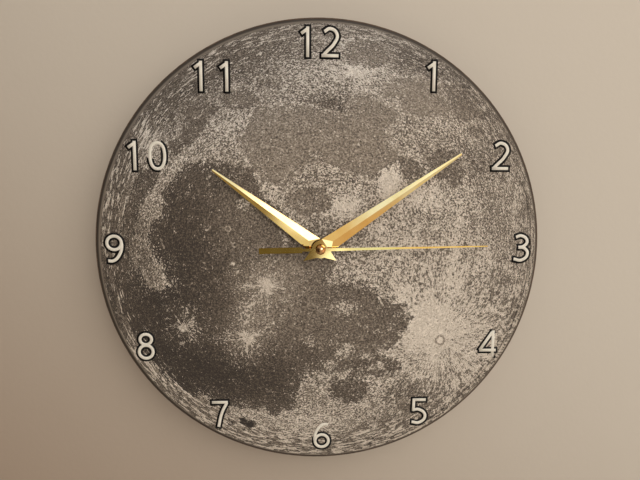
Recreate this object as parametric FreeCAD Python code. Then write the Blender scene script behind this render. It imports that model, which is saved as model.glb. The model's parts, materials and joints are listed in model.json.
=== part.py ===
import FreeCAD, Part
import math
import os

# A 300 mm round wall clock: a flat board with a printed dial, three gold hands and a quartz
# movement behind it. Millimetres. X is to the right and Z is up as one reads the dial. The wall
# is the plane Y = 0 and the dial faces -Y. The origin is on the hands' axis, on the wall plane.

V = FreeCAD.Vector
SPIN = V(0, 1, 0)

# Board
board_d = 300.0
board_t = 4.0
board_edge = 0.3
board_hole_d = 8.4

# Movement case. Its width and depth follow from the cell, the motor and the wheels in it.
case_wall = 1.4
case_side_wall = 1.2
case_corner_r = 3.5
case_edge = 0.5
cover_edge = 0.3
cover_line_w = 0.8
cover_line_depth = 0.3
cover_line_inset = 3.0
partition_t = 1.0
cover_t = 1.2
post_r = 1.8
boss_r = 1.1
pilot_hole_r = 0.7
pilot_hole_depth = 3.0

# Battery, one AA cell
cell_d = 14.2
cell_len = 50.5
cell_nub_d = 5.2
cell_nub_h = 1.3
cell_play = 0.25
cell_wall_gap = 0.15
cell_rim = 0.6
cradle_t = 1.0
lip_t = 0.9
lip_reach = 1.9
lip_w = 8.0

# Threaded bushing and what it clamps
bush_d = 8.0
bush_flange_d = 12.0
bush_flange_t = 1.0
bush_proud = 0.6
rubber_d = 24.0
rubber_t = 1.0
washer_d = 12.0
washer_t = 0.5
nut_flats = 10.5
nut_t = 2.4
nut_chamfer = 0.4

# Hanger
hanger_t = 0.8
hanger_w = 18.0
hanger_tab_h = 19.0
hanger_wall_gap = 2.2
hanger_case_gap = 0.6
hanger_bend_r = 1.6
eye_r = 4.0
eye_notch_r = 1.2
eye_edge = 3.5

# Arbors, tubes and pivots
hour_tube_d = 5.4
minute_tube_d = 3.2
second_arbor_d = 1.2
pivot_r = 0.4
run_fit = 0.05
arbor_r = 0.5
hub_r = 1.3
wheel_hub_r = 2.2

# Wheel train
front_module = 0.42
rear_module = 0.30
front_wheel_t = 0.9
rear_wheel_t = 0.8
wheel_gap = 0.4
end_play = 0.3
pinion_over = 0.2
plate_t = 1.0
plate_margin = 2.6
post_b_deg = -67.0
post_c_deg = 88.0
plate_fit = 0.3
rim_w = 1.1
rotor_leaves = 10
intermediate_teeth = 50
intermediate_leaves = 10
second_teeth = 60
second_leaves = 8
third_teeth = 60
third_leaves = 8
centre_teeth = 64
cannon_leaves = 12
minute_teeth = 36
minute_leaves = 10
hour_teeth = 40
setting_teeth = 14
addendum_share = 0.80
dedendum_share = 1.10
tooth_width_share = 0.40
tooth_tip_share = 0.45
tooth_root_share = 1.30
web_hole_share = 0.78
web_holes = 5

# Directions of the arbors, in degrees from +X towards +Z
third_deg = 20.0
intermediate_deg = 110.0
rotor_deg = 170.0
minute_wheel_deg = 185.0
setting_deg = 165.0

# Stepping motor
magnet_r = 2.6
magnet_h = 1.8
air_gap = 0.5
stator_t = 0.8
stator_ring_w = 2.6
stator_band_w = 3.2
stator_leg_w = 4.0
stator_slot_w = 0.8
core_len = 30.0
core_t = 0.8
bobbin_flange_r = 4.3
bobbin_flange_t = 0.8
bobbin_spool_r = 2.5
winding_r = 4.0
coil_wall_gap = 0.4
coil_end_gap = 2.4
coil_board_gap = 3.3
band_over = 0.27
screw_head_r = 1.5
screw_head_h = 0.9
screw_shank_r = 0.7
screw_slot_w = 0.4
screw_slot_depth = 0.4

# Circuit board
pcb_w = 17.0
pcb_h = 11.5
pcb_t = 0.8
pcb_edge_gap = 0.9
pcb_post_inset = 2.2
chip_r = 2.6
chip_h = 0.9
can_r = 1.0
can_len = 6.0
can_edge = 0.25

# Battery contacts
contact_room = 1.55
strip_t = 0.3
strip_w = 3.0
pad_w = 8.0
pad_h = 9.0
dimple_r = 2.4
slot_fit = 0.3

# Setting knob
knob_r = 4.6
knob_t = 1.8
knob_gap = 0.6
knob_sink = 0.2
knob_notch = 0.35
knob_notches = 24
knob_notch_shares = ((0.0, 1.0), (0.3, 0.0), (0.7, 0.0))
knob_dish_r = 2.6
knob_dish_depth = 0.4
setting_shaft_r = 1.0
setting_fit = 0.1

# Snap clips of the back cover
clip_w = 5.0
clip_t = 1.0
clip_len = 3.0
clip_hook = 0.5
clip_hook_h = 1.0
clip_play = 0.1

# Hands
hand_sheet = 0.45
hub_disc_r = 6.0
hour_len = 88.0
hour_half_w = 5.5
hour_shoulder = 4.6
hour_tail = 13.2
hour_deg = 306.2
minute_len = 112.3
minute_half_w = 5.3
minute_shoulder = 4.6
minute_tail = 13.9
minute_deg = 55.6
hand_tip_half_w = 0.7
hand_tail_half_w = 3.5
tail_root_share = 0.95
ridge_rise = 0.9
ridge_setback = 5.2
root_half_w = 5.2
collar_wall = 0.9
second_len = 111.9
second_half_w = 1.05
second_tip_half_w = 0.5
second_tail = 40.8
second_neck = 12.1
second_neck_half_w = 0.95
second_weight_half_w = 2.0
second_deg = 88.7
second_sheet = 0.4
second_boss_r = 2.6
second_tube_r = 1.2
cap_r = 3.3
cap_h = 2.6

# Heights of the hands, each above the piece behind it
hour_hand_gap = 0.9
minute_hand_gap = 1.1
second_hand_gap = 0.95
tube_proud = 0.2
collar_gap = 0.3
cut_over = 1.0


def polar(distance, degrees):
    return (distance * math.cos(math.radians(degrees)), distance * math.sin(math.radians(degrees)))


def offset(place, distance, degrees):
    dx, dz = polar(distance, degrees)
    return (place[0] + dx, place[1] + dz)


def rod(place, radius, y_front, y_back):
    return Part.makeCylinder(radius, y_back - y_front, V(place[0], y_front, place[1]), SPIN)


def ring(place, outer, inner, y_front, y_back):
    hole = rod(place, inner, y_front - cut_over, y_back + cut_over)
    return rod(place, outer, y_front, y_back).cut(hole)


def block(x0, x1, y0, y1, z0, z1):
    return Part.makeBox(x1 - x0, y1 - y0, z1 - z0, V(x0, y0, z0))


def slab(points, y_front, y_back):
    corners = [V(x, y_front, z) for x, z in points]
    face = Part.Face(Part.makePolygon(corners + corners[:1]))
    return face.extrude(V(0, y_back - y_front, 0))


def join(shapes):
    whole = shapes[0].fuse(shapes[1:]) if len(shapes) > 1 else shapes[0]
    return whole.removeSplitter()


def turned(shape, degrees):
    shape.rotate(V(0, 0, 0), SPIN, degrees)
    return shape


def bevel(shape, y, size):
    # Takes the corner off every edge that lies in the plane Y = y
    edges = [edge for edge in shape.Edges
             if abs(edge.BoundBox.YMin - y) < size / 8 and abs(edge.BoundBox.YMax - y) < size / 8]
    return shape.makeChamfer(size, edges)


# Teeth

def pitch_radius(teeth, module):
    return teeth * module / 2


def tip_radius(teeth, module):
    return pitch_radius(teeth, module) + addendum_share * module


def root_radius(teeth, module):
    return pitch_radius(teeth, module) - dedendum_share * module


def toothed(teeth, module, phase, place, y_front, y_back):
    # Straight flanks, slim enough to run without touching
    step = 2 * math.pi / teeth
    half = step * tooth_width_share / 2
    shares = ((root_radius(teeth, module), -half * tooth_root_share),
              (tip_radius(teeth, module), -half * tooth_tip_share),
              (tip_radius(teeth, module), half * tooth_tip_share),
              (root_radius(teeth, module), half * tooth_root_share))
    points = []
    for tooth in range(teeth):
        for radius, turn in shares:
            angle = phase + tooth * step + turn
            points.append((place[0] + radius * math.cos(angle), place[1] + radius * math.sin(angle)))
    return slab(points, y_front, y_back)


def mesh_phase(teeth_a, phase_a, place_a, teeth_b, place_b):
    # The angle of a tooth of b that puts a gap of b where a has a tooth, on the line of centres
    line = math.atan2(place_b[1] - place_a[1], place_b[0] - place_a[0])
    step_a = 2 * math.pi / teeth_a
    off = math.remainder(phase_a - line, step_a)
    return line + math.pi - off * teeth_a / teeth_b + math.pi / teeth_b


def web(teeth, module, place, hub, y_front, y_back):
    # Round lightening holes between the hub and the rim
    inner_rim = root_radius(teeth, module) - rim_w
    hole_r = (inner_rim - hub) / 2 * web_hole_share
    middle = (inner_rim + hub) / 2
    holes = []
    for number in range(web_holes):
        spot = offset(place, middle, number * 360 / web_holes)
        holes.append(rod(spot, hole_r, y_front - cut_over, y_back + cut_over))
    return holes


# Arbor places
centre = (0.0, 0.0)
third_distance = pitch_radius(third_teeth + second_leaves, rear_module)
centre_module = 2 * third_distance / (centre_teeth + third_leaves)
third = polar(third_distance, third_deg)
inter = polar(pitch_radius(second_teeth + intermediate_leaves, rear_module), intermediate_deg)
rotor = offset(inter, pitch_radius(intermediate_teeth + rotor_leaves, rear_module), rotor_deg)
minute_distance = pitch_radius(cannon_leaves + minute_teeth, front_module)
hour_module = 2 * minute_distance / (minute_leaves + hour_teeth)
minute_place = polar(minute_distance, minute_wheel_deg)
setting = offset(minute_place, pitch_radius(minute_teeth + setting_teeth, front_module), setting_deg)

# Case: as large inside as the largest of what it holds needs, the same way on all four sides
core_half = core_len / 2
cell_r = cell_d / 2
ring_out_r = magnet_r + air_gap + stator_ring_w
band_top = rotor[1] + ring_out_r + band_over
coil_z = band_top + coil_wall_gap + bobbin_flange_r
motor_room = coil_z + bobbin_flange_r + coil_wall_gap
cell_room = cell_len / 2 + contact_room
board_room = (coil_end_gap + core_len + coil_board_gap + pcb_w + pcb_edge_gap) / 2
setting_room = knob_r + knob_gap + cover_t - setting[0]
wheel_room = tip_radius(centre_teeth, centre_module) + wheel_gap + partition_t + cell_d + cell_play * 2
inner_half = max(motor_room, cell_room, board_room, setting_room, wheel_room)
case_half = inner_half + case_side_wall
case_w = case_half * 2
cell_depth = cell_play + cell_d + cell_wall_gap
wheel_depth = (front_wheel_t * 2 + rear_wheel_t * 4 + plate_t + wheel_gap * 7 + end_play * 5 + cover_t)
case_depth = case_wall + max(cell_depth, wheel_depth)

# Places along the shaft, from the wall forwards
y_wall = 0.0
y_cover_in = y_wall - cover_t
y_case_front = y_wall - case_depth
y_floor = y_case_front + case_wall
y_flange = y_case_front - bush_flange_t
y_hanger = y_flange - hanger_t
y_board_back = y_hanger - rubber_t
y_dial = y_board_back - board_t
y_washer = y_dial - washer_t
y_nut = y_washer - nut_t
y_bush_end = y_nut - bush_proud

# Wheels, from the case floor backwards
y_hour_wheel = y_floor + end_play
y_hour_back = y_hour_wheel + front_wheel_t
y_minute_wheel = y_hour_back + wheel_gap
y_minute_back = y_minute_wheel + front_wheel_t
y_centre_wheel = y_minute_back + wheel_gap
y_centre_back = y_centre_wheel + rear_wheel_t
y_plate = y_centre_back + wheel_gap
y_plate_back = y_plate + plate_t
y_third_wheel = y_plate_back + wheel_gap
y_third_back = y_third_wheel + rear_wheel_t
y_second_wheel = y_third_back + wheel_gap
y_second_back = y_second_wheel + rear_wheel_t
y_inter_wheel = y_second_back + wheel_gap
y_inter_back = y_inter_wheel + rear_wheel_t
y_shoulder = y_inter_back + wheel_gap
y_boss = y_shoulder + end_play

# Hands: front faces of the sheets
y_hour_hand = y_bush_end - hour_hand_gap - hand_sheet
y_minute_hand = y_hour_hand - ridge_rise - minute_hand_gap
y_second_hand = y_minute_hand - ridge_rise - second_hand_gap
y_cap = y_second_hand - cap_h

# Battery bay and hanger eye
cell_z = -inner_half + cell_play + cell_r
cell_y = y_floor + cell_play + cell_r
z_partition = cell_z + cell_r + cell_play
z_room = z_partition + partition_t
eye_z = case_half + hanger_case_gap + hanger_tab_h - eye_edge - eye_r

# Motor places
coil_x = -inner_half + coil_end_gap + core_half
y_stator = y_plate_back + wheel_gap + (magnet_h - stator_t) / 2 + end_play
y_core = y_stator - core_t
coil_y = y_core + core_t / 2
left_leg_x = coil_x - core_half + stator_leg_w / 2
right_leg_x = coil_x + core_half - stator_leg_w / 2
band_z = band_top - stator_band_w

# Plate posts, clear of the wheels that run beside them
post_a = (rotor[0] - ring_out_r - post_r - wheel_gap * 4, rotor[1] - wheel_gap * 5)
post_b = offset(third, tip_radius(third_teeth, rear_module) + screw_head_r + wheel_gap * 2, post_b_deg)
post_c = offset(third, tip_radius(third_teeth, rear_module) + screw_head_r + wheel_gap * 2, post_c_deg)
plate_posts = (post_a, post_b, post_c)

# Circuit board place: the upper right corner of the room
pcb_x1 = inner_half - pcb_edge_gap
pcb_x0 = pcb_x1 - pcb_w
pcb_z1 = inner_half - pcb_edge_gap
pcb_z0 = pcb_z1 - pcb_h
y_pcb = y_second_wheel - wheel_gap
y_pcb_back = y_pcb + pcb_t
pcb_posts = ((pcb_x0 + pcb_post_inset, pcb_z1 - pcb_post_inset),
             (pcb_x1 - pcb_post_inset, pcb_z1 - pcb_post_inset))


# Board and what clamps it

def make_board():
    disc = rod(centre, board_d / 2, y_dial, y_board_back)
    disc = bevel(bevel(disc, y_dial, board_edge), y_board_back, board_edge)
    return disc.cut(rod(centre, board_hole_d / 2, y_dial - cut_over, y_board_back + cut_over))


def make_bushing():
    thread = rod(centre, bush_d / 2, y_bush_end, y_floor)
    flange = rod(centre, bush_flange_d / 2, y_flange, y_case_front)
    bore = rod(centre, hour_tube_d / 2 + run_fit, y_bush_end - cut_over, y_floor + cut_over)
    return join([thread, flange]).cut(bore)


def make_nut():
    corner_r = nut_flats / math.sqrt(3)
    corners = [polar(corner_r, 60 * side) for side in range(6)]
    hexagon = slab(corners, y_nut, y_washer)
    # The corners of the front face are turned down to a cone
    cone_r = nut_flats / 2 + nut_chamfer
    cone = Part.makeCone(cone_r, cone_r + nut_t, nut_t, V(0, y_nut, 0), SPIN)
    return hexagon.common(cone).cut(rod(centre, bush_d / 2, y_nut - cut_over, y_washer + cut_over))


def make_hanger():
    # A strip clamped on the bushing, bent back over the case and up into a tab with an eye
    low = -bush_flange_d / 2
    z_bend = case_half + hanger_case_gap
    y_tab = y_wall - hanger_wall_gap
    path = ((y_hanger, low), (y_hanger, z_bend + hanger_t), (y_tab - hanger_t, z_bend + hanger_t),
            (y_tab - hanger_t, z_bend + hanger_tab_h), (y_tab, z_bend + hanger_tab_h),
            (y_tab, z_bend), (y_hanger + hanger_t, z_bend), (y_hanger + hanger_t, low))
    corners = [V(-hanger_w / 2, y, z) for y, z in path]
    strip = Part.Face(Part.makePolygon(corners + corners[:1])).extrude(V(hanger_w, 0, 0))
    outer = ((y_hanger, z_bend + hanger_t), (y_tab, z_bend))
    inner = ((y_hanger + hanger_t, z_bend), (y_tab - hanger_t, z_bend + hanger_t))
    strip = round_along_x(strip, outer, hanger_bend_r)
    strip = round_along_x(strip, inner, hanger_bend_r - hanger_t)
    strip = round_along_y(strip, ((-hanger_w / 2, low), (hanger_w / 2, low),
                                  (-hanger_w / 2, z_bend + hanger_tab_h),
                                  (hanger_w / 2, z_bend + hanger_tab_h)), eye_edge)
    strip = strip.cut(rod(centre, bush_d / 2 + run_fit, y_hanger - cut_over, y_case_front))
    eye = rod((0, eye_z), eye_r, y_tab - hanger_t - cut_over, y_wall)
    notch = rod((0, eye_z + eye_r), eye_notch_r, y_tab - hanger_t - cut_over, y_wall)
    return strip.cut([eye, notch])


def round_along_x(shape, places, radius):
    small = hanger_t / 8
    edges = [edge for edge in shape.Edges if edge.BoundBox.XLength > hanger_t
             and any(abs(edge.BoundBox.YMin - y) < small and abs(edge.BoundBox.YMax - y) < small
                     and abs(edge.BoundBox.ZMin - z) < small and abs(edge.BoundBox.ZMax - z) < small
                     for y, z in places)]
    return shape.makeFillet(radius, edges)


def round_along_y(shape, places, radius):
    small = hanger_t / 8
    edges = [edge for edge in shape.Edges if edge.BoundBox.YLength > small
             and any(abs(edge.BoundBox.XMin - x) < small and abs(edge.BoundBox.XMax - x) < small
                     and abs(edge.BoundBox.ZMin - z) < small and abs(edge.BoundBox.ZMax - z) < small
                     for x, z in places)]
    return shape.makeFillet(radius, edges)


# Case and cover

def case_block(half, radius, y_front, y_back):
    solid = block(-half, half, y_front, y_back, -half, half)
    corners = ((-half, -half), (-half, half), (half, -half), (half, half))
    return round_along_y(solid, corners, radius)


def clip_places():
    # Middle of each clip, the direction to its wall, as (x, z, to_x, to_z)
    side_z = coil_z - clip_w
    return ((coil_x, inner_half, 0, 1), (pcb_x0 + pcb_w / 2, inner_half, 0, 1),
            (-inner_half, side_z, -1, 0), (inner_half, side_z, 1, 0))


def clip_block(place, inset, reach, width, y_front, y_back):
    # A box that runs along the wall, from inset inside its inner face to reach beyond it
    x, z, to_x, to_z = place
    half = width / 2
    if to_z:
        return block(x - half, x + half, y_front, y_back, z - inset, z + reach)
    if to_x > 0:
        return block(x - inset, x + reach, y_front, y_back, z - half, z + half)
    return block(x - reach, x + inset, y_front, y_back, z - half, z + half)


def make_case():
    shell = case_block(case_half, case_corner_r, y_case_front, y_wall)
    shell = bevel(bevel(shell, y_case_front, case_edge), y_wall, cover_edge)
    inner_r = case_corner_r - case_side_wall
    room = case_block(inner_half, inner_r, y_floor, y_wall + cut_over)
    above = block(-case_w, case_w, y_case_front, y_wall + cut_over, z_room, case_w)
    below = block(-case_w, case_w, y_case_front, y_wall + cut_over, -case_w, z_partition)
    rebate = block(-case_w, case_w, y_cover_in, y_wall + cut_over, z_partition, case_w)
    shell = shell.cut([room.common(above), room.common(below), rebate])
    # Posts and bosses stand on the floor
    parts = [shell]
    parts += [rod(post, post_r, y_floor, y_plate) for post in plate_posts]
    parts += [rod((x, coil_z), post_r, y_floor, y_core) for x in (left_leg_x, right_leg_x)]
    parts += [rod(post, boss_r, y_floor, y_pcb) for post in pcb_posts]
    parts.append(rod(third, boss_r, y_floor, y_centre_wheel - pinion_over - end_play))
    # Ribs that cradle the cell, and lips that it snaps behind
    room_for_cell = Part.makeCylinder(cell_r + cell_play, cell_len, V(-cell_len / 2, cell_y, cell_z),
                                      V(1, 0, 0))
    for lip_x in (-cell_len / 4, 0, cell_len / 4):
        rib = block(lip_x - cradle_t / 2, lip_x + cradle_t / 2, y_floor, cell_y,
                    -inner_half, z_partition - strip_t - slot_fit)
        parts.append(rib.cut(room_for_cell))
    for lip_x in (-cell_len / 4, cell_len / 4):
        parts.append(block(lip_x - lip_w / 2, lip_x + lip_w / 2, y_wall - lip_t, y_wall,
                           -inner_half - case_side_wall / 2, -inner_half + lip_reach))
    body = join(parts)
    cuts = [rod(centre, bush_d / 2, y_case_front - cut_over, y_floor + cut_over)]
    cuts += [rod(post, pilot_hole_r, y_plate - pilot_hole_depth, y_plate + cut_over)
             for post in plate_posts]
    cuts += [rod((x, coil_z), pilot_hole_r, y_core - pilot_hole_depth, y_core + cut_over)
             for x in (left_leg_x, right_leg_x)]
    # Pivot holes in the floor and in the third wheel's boss
    for place, radius in ((minute_place, pivot_r), (setting, pivot_r)):
        cuts.append(rod(place, radius + run_fit, y_floor - case_wall * 2 / 3, y_floor + cut_over))
    cuts.append(rod(third, pivot_r + run_fit, y_floor, y_centre_wheel))
    # Slots for the two contact strips through the partition
    cuts.append(block(inner_half - strip_t - slot_fit, inner_half, y_pcb_back - slot_fit,
                      y_pcb_back + strip_w + slot_fit, z_partition - cut_over, z_room + cut_over))
    cuts.append(block(riser_x - slot_fit, riser_x + strip_w + slot_fit, y_floor,
                      y_floor + strip_w + slot_fit, z_partition - cut_over, z_room + cut_over))
    # Windows for the cover's clips
    y_hook = y_cover_in - clip_len
    for place in clip_places():
        cuts.append(clip_block(place, clip_play, clip_hook + clip_play, clip_w + clip_play * 2,
                               y_hook - clip_play, y_hook + clip_hook_h + clip_play))
    return body.cut(cuts)


def make_cover():
    plate = bevel(case_block(case_half, case_corner_r, y_cover_in, y_wall), y_wall, cover_edge)
    plate = plate.common(block(-case_w, case_w, y_cover_in, y_wall, z_partition, case_w))
    parts = [plate]
    for place in (centre, third, inter, rotor):
        parts.append(rod(place, hub_r, y_boss, y_cover_in))
    # The dish that the setting knob sits in
    dish_r = knob_r + knob_gap
    dish_floor = y_wall - knob_sink - knob_t - knob_gap
    parts.append(rod(setting, dish_r + cover_t, dish_floor - cover_t, y_cover_in))
    for place in clip_places():
        y_hook = y_cover_in - clip_len
        parts.append(clip_block(place, clip_play + clip_t, -clip_play, clip_w, y_hook, y_cover_in))
        parts.append(clip_block(place, clip_play + clip_t / 2, clip_hook - clip_play, clip_w,
                                y_hook, y_hook + clip_hook_h))
    body = join(parts)
    cuts = [rod(setting, dish_r, dish_floor, y_wall + cut_over),
            rod(setting, setting_shaft_r + setting_fit, dish_floor - cover_t * 2, y_wall)]
    # A sunk line runs along the edges of the back face, and stops short of the dish
    line_half = case_half - cover_line_inset
    line = case_block(line_half, case_corner_r, y_wall - cover_line_depth, y_wall + cut_over)
    line = line.cut(case_block(line_half - cover_line_w, case_corner_r - cover_line_w,
                               y_wall - cover_line_depth * 2, y_wall + cut_over * 2))
    line = line.common(block(-case_w, case_w, y_cover_in, y_wall + cut_over, z_partition, case_w))
    cuts.append(line.cut(rod(setting, dish_r + cover_t, y_cover_in, y_wall + cut_over * 2)))
    for place in (third, inter, rotor):
        cuts.append(rod(place, pivot_r + run_fit, y_boss - cut_over, y_cover_in - end_play))
    cuts.append(rod(centre, second_arbor_d / 2 + run_fit, y_boss - cut_over, y_cover_in - end_play))
    return body.cut(cuts)


def make_plate():
    outline = [post_a, post_c, post_b, minute_place, setting]
    corners = [V(x, y_plate, z) for x, z in outline]
    wire = Part.makePolygon(corners + corners[:1]).makeOffset2D(plate_margin)
    plate = Part.Face(wire).extrude(V(0, plate_t, 0))
    pinion_r = tip_radius(third_leaves, centre_module) + plate_fit
    holes = [(centre, wheel_hub_r + run_fit), (third, pinion_r), (inter, pivot_r + run_fit),
             (rotor, pivot_r + run_fit), (minute_place, pivot_r + run_fit),
             (setting, setting_shaft_r + setting_fit)]
    holes += [(post, screw_shank_r) for post in plate_posts]
    return plate.cut([rod(spot, radius, y_plate - cut_over, y_plate_back + cut_over)
                      for spot, radius in holes])


def make_screws(places, y_seat, seat_depth):
    # Pan heads with a slot, shanks down into the pilot holes
    shapes = []
    for place in places:
        head = rod(place, screw_head_r, y_seat, y_seat + screw_head_h)
        shank = rod(place, screw_shank_r, y_seat - seat_depth, y_seat)
        slot = block(place[0] - screw_head_r, place[0] + screw_head_r,
                     y_seat + screw_head_h - screw_slot_depth, y_seat + screw_head_h + cut_over,
                     place[1] - screw_slot_w / 2, place[1] + screw_slot_w / 2)
        shapes.append(join([head, shank]).cut(slot))
    return Part.makeCompound(shapes)


# Wheels

minute_phase = mesh_phase(cannon_leaves, 0, centre, minute_teeth, minute_place)
hour_phase = mesh_phase(minute_leaves, 0, minute_place, hour_teeth, centre)
setting_phase = mesh_phase(minute_teeth, minute_phase, minute_place, setting_teeth, setting)
third_pinion_phase = mesh_phase(centre_teeth, 0, centre, third_leaves, third)
second_pinion_phase = mesh_phase(third_teeth, 0, third, second_leaves, centre)
inter_pinion_phase = mesh_phase(second_teeth, 0, centre, intermediate_leaves, inter)
rotor_pinion_phase = mesh_phase(intermediate_teeth, 0, inter, rotor_leaves, rotor)


def make_hour_wheel():
    gear = toothed(hour_teeth, hour_module, hour_phase, centre, y_hour_wheel, y_hour_back)
    y_tube_end = y_hour_hand - tube_proud
    pipe = rod(centre, hour_tube_d / 2, y_tube_end, y_hour_back)
    bore = rod(centre, minute_tube_d / 2 + run_fit, y_tube_end - cut_over, y_hour_back + cut_over)
    holes = web(hour_teeth, hour_module, centre, hour_tube_d / 2 + rim_w, y_hour_wheel, y_hour_back)
    return join([gear, pipe]).cut([bore] + holes)


def make_minute_tube():
    y_tube_end = y_minute_hand - tube_proud
    pipe = rod(centre, minute_tube_d / 2, y_tube_end, y_centre_wheel)
    leaves = toothed(cannon_leaves, front_module, 0, centre, y_minute_wheel - pinion_over,
                     y_centre_wheel)
    bore = rod(centre, second_arbor_d / 2 + run_fit, y_tube_end - cut_over, y_centre_wheel + cut_over)
    return join([pipe, leaves]).cut(bore)


def make_centre_wheel():
    gear = toothed(centre_teeth, centre_module, 0, centre, y_centre_wheel, y_centre_back)
    hub = rod(centre, wheel_hub_r, y_centre_wheel, y_plate_back - run_fit)
    bore = rod(centre, second_arbor_d / 2 + run_fit, y_centre_wheel - cut_over, y_plate_back)
    holes = web(centre_teeth, centre_module, centre, wheel_hub_r, y_centre_wheel, y_centre_back)
    return join([gear, hub]).cut([bore] + holes)


def make_third_wheel():
    gear = toothed(third_teeth, rear_module, 0, third, y_third_wheel, y_third_back)
    y_pinion = y_centre_wheel - pinion_over
    leaves = toothed(third_leaves, centre_module, third_pinion_phase, third, y_pinion, y_third_wheel)
    front = rod(third, pivot_r, y_floor + end_play, y_pinion)
    back = rod(third, pivot_r, y_third_back, y_cover_in - end_play * 2)
    holes = web(third_teeth, rear_module, third, hub_r, y_third_wheel, y_third_back)
    return join([gear, leaves, front, back]).cut(holes)


def make_second_wheel():
    gear = toothed(second_teeth, rear_module, 0, centre, y_second_wheel, y_second_back)
    y_pinion = y_third_wheel - pinion_over
    leaves = toothed(second_leaves, rear_module, second_pinion_phase, centre, y_pinion,
                     y_second_wheel)
    hub = rod(centre, hub_r, y_second_back, y_shoulder)
    holes = web(second_teeth, rear_module, centre, hub_r, y_second_wheel, y_second_back)
    bore = rod(centre, second_arbor_d / 2, y_pinion - cut_over, y_shoulder + cut_over)
    return join([gear, leaves, hub]).cut([bore] + holes)


def make_second_arbor():
    return rod(centre, second_arbor_d / 2, y_second_hand, y_cover_in - end_play * 2)


def make_intermediate_wheel():
    gear = toothed(intermediate_teeth, rear_module, 0, inter, y_inter_wheel, y_inter_back)
    y_pinion = y_second_wheel - pinion_over
    leaves = toothed(intermediate_leaves, rear_module, inter_pinion_phase, inter, y_pinion,
                     y_inter_wheel)
    stem = rod(inter, arbor_r, y_plate_back + run_fit, y_pinion)
    back = rod(inter, hub_r, y_inter_back, y_shoulder)
    pivots = rod(inter, pivot_r, y_plate, y_cover_in - end_play * 2)
    holes = web(intermediate_teeth, rear_module, inter, hub_r, y_inter_wheel, y_inter_back)
    return join([gear, leaves, stem, back, pivots]).cut(holes)


def make_rotor_pinion():
    y_pinion = y_inter_wheel - pinion_over
    leaves = toothed(rotor_leaves, rear_module, rotor_pinion_phase, rotor, y_pinion,
                     y_inter_back + pinion_over)
    pivots = rod(rotor, pivot_r, y_plate, y_cover_in - end_play * 2)
    return join([leaves, pivots])


def make_rotor_magnet():
    y_front = y_stator + stator_t / 2 - magnet_h / 2
    return ring(rotor, magnet_r, pivot_r, y_front, y_front + magnet_h)


def make_minute_wheel():
    gear = toothed(minute_teeth, front_module, minute_phase, minute_place, y_minute_wheel,
                   y_minute_back)
    leaves = toothed(minute_leaves, hour_module, 0, minute_place, y_floor + run_fit, y_minute_wheel)
    pivots = rod(minute_place, pivot_r, y_floor - case_wall / 2, y_plate_back)
    holes = web(minute_teeth, front_module, minute_place, hub_r, y_minute_wheel, y_minute_back)
    return join([gear, leaves, pivots]).cut(holes)


def make_setting_gear():
    gear = toothed(setting_teeth, front_module, setting_phase, setting, y_minute_wheel,
                   y_minute_back)
    front = rod(setting, pivot_r, y_floor - case_wall / 2, y_minute_wheel)
    collar = rod(setting, hub_r, y_floor + run_fit, y_minute_wheel)
    shaft = rod(setting, setting_shaft_r, y_minute_back, y_wall - knob_sink - knob_t / 2)
    return join([gear, front, collar, shaft])


def make_setting_knob():
    # Serrated rim, a shallow dish in the back face and a socket for the shaft
    y_front = y_wall - knob_sink - knob_t
    y_back = y_wall - knob_sink
    points = [offset(setting, knob_r - knob_notch * deep, (number + turn) * 360 / knob_notches)
              for number in range(knob_notches) for turn, deep in knob_notch_shares]
    dish = rod(setting, knob_dish_r, y_back - knob_dish_depth, y_wall)
    socket = rod(setting, setting_shaft_r, y_front - cut_over, y_front + knob_t / 2)
    return slab(points, y_front, y_back).cut([dish, socket])


# Motor and circuit

def make_stator():
    y_back = y_stator + stator_t
    rim = rod(rotor, ring_out_r, y_stator, y_back)
    x0 = left_leg_x - stator_leg_w / 2
    x1 = right_leg_x + stator_leg_w / 2
    z_top = coil_z + stator_leg_w / 2
    band = block(x0, x1, y_stator, y_back, band_z, band_z + stator_band_w)
    left = block(x0, x0 + stator_leg_w, y_stator, y_back, band_z, z_top)
    right = block(x1 - stator_leg_w, x1, y_stator, y_back, band_z, z_top)
    body = join([rim, band, left, right])
    hole = rod(rotor, magnet_r + air_gap, y_stator - cut_over, y_back + cut_over)
    # The upper slot parts the poles, the lower notch leaves a thin neck
    half = stator_slot_w / 2
    slot = block(rotor[0] - half, rotor[0] + half, y_stator - cut_over, y_back + cut_over,
                 rotor[1], coil_z)
    notch = block(rotor[0] - half, rotor[0] + half, y_stator - cut_over, y_back + cut_over,
                  rotor[1] - magnet_r - air_gap - stator_ring_w * 2 / 3, rotor[1])
    screws = [rod((x, coil_z), screw_shank_r, y_stator - cut_over, y_back + cut_over)
              for x in (left_leg_x, right_leg_x)]
    return body.cut([hole, slot, notch] + screws)


def make_core():
    half = stator_leg_w / 2
    bar = block(coil_x - core_half, coil_x + core_half, y_core, y_stator, coil_z - half, coil_z + half)
    return bar.cut([rod((x, coil_z), screw_shank_r, y_core - cut_over, y_stator + cut_over)
                    for x in (left_leg_x, right_leg_x)])


def along_x(radius, x0, x1):
    return Part.makeCylinder(radius, x1 - x0, V(x0, coil_y, coil_z), V(1, 0, 0))


bobbin_x0 = left_leg_x + stator_leg_w / 2 + coil_wall_gap
bobbin_x1 = right_leg_x - stator_leg_w / 2 - coil_wall_gap


def make_bobbin():
    spool = along_x(bobbin_spool_r, bobbin_x0, bobbin_x1)
    left = along_x(bobbin_flange_r, bobbin_x0, bobbin_x0 + bobbin_flange_t)
    right = along_x(bobbin_flange_r, bobbin_x1 - bobbin_flange_t, bobbin_x1)
    half = stator_leg_w / 2
    slot = block(bobbin_x0 - cut_over, bobbin_x1 + cut_over, y_core, y_stator, coil_z - half,
                 coil_z + half)
    return join([spool, left, right]).cut(slot)


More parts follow.
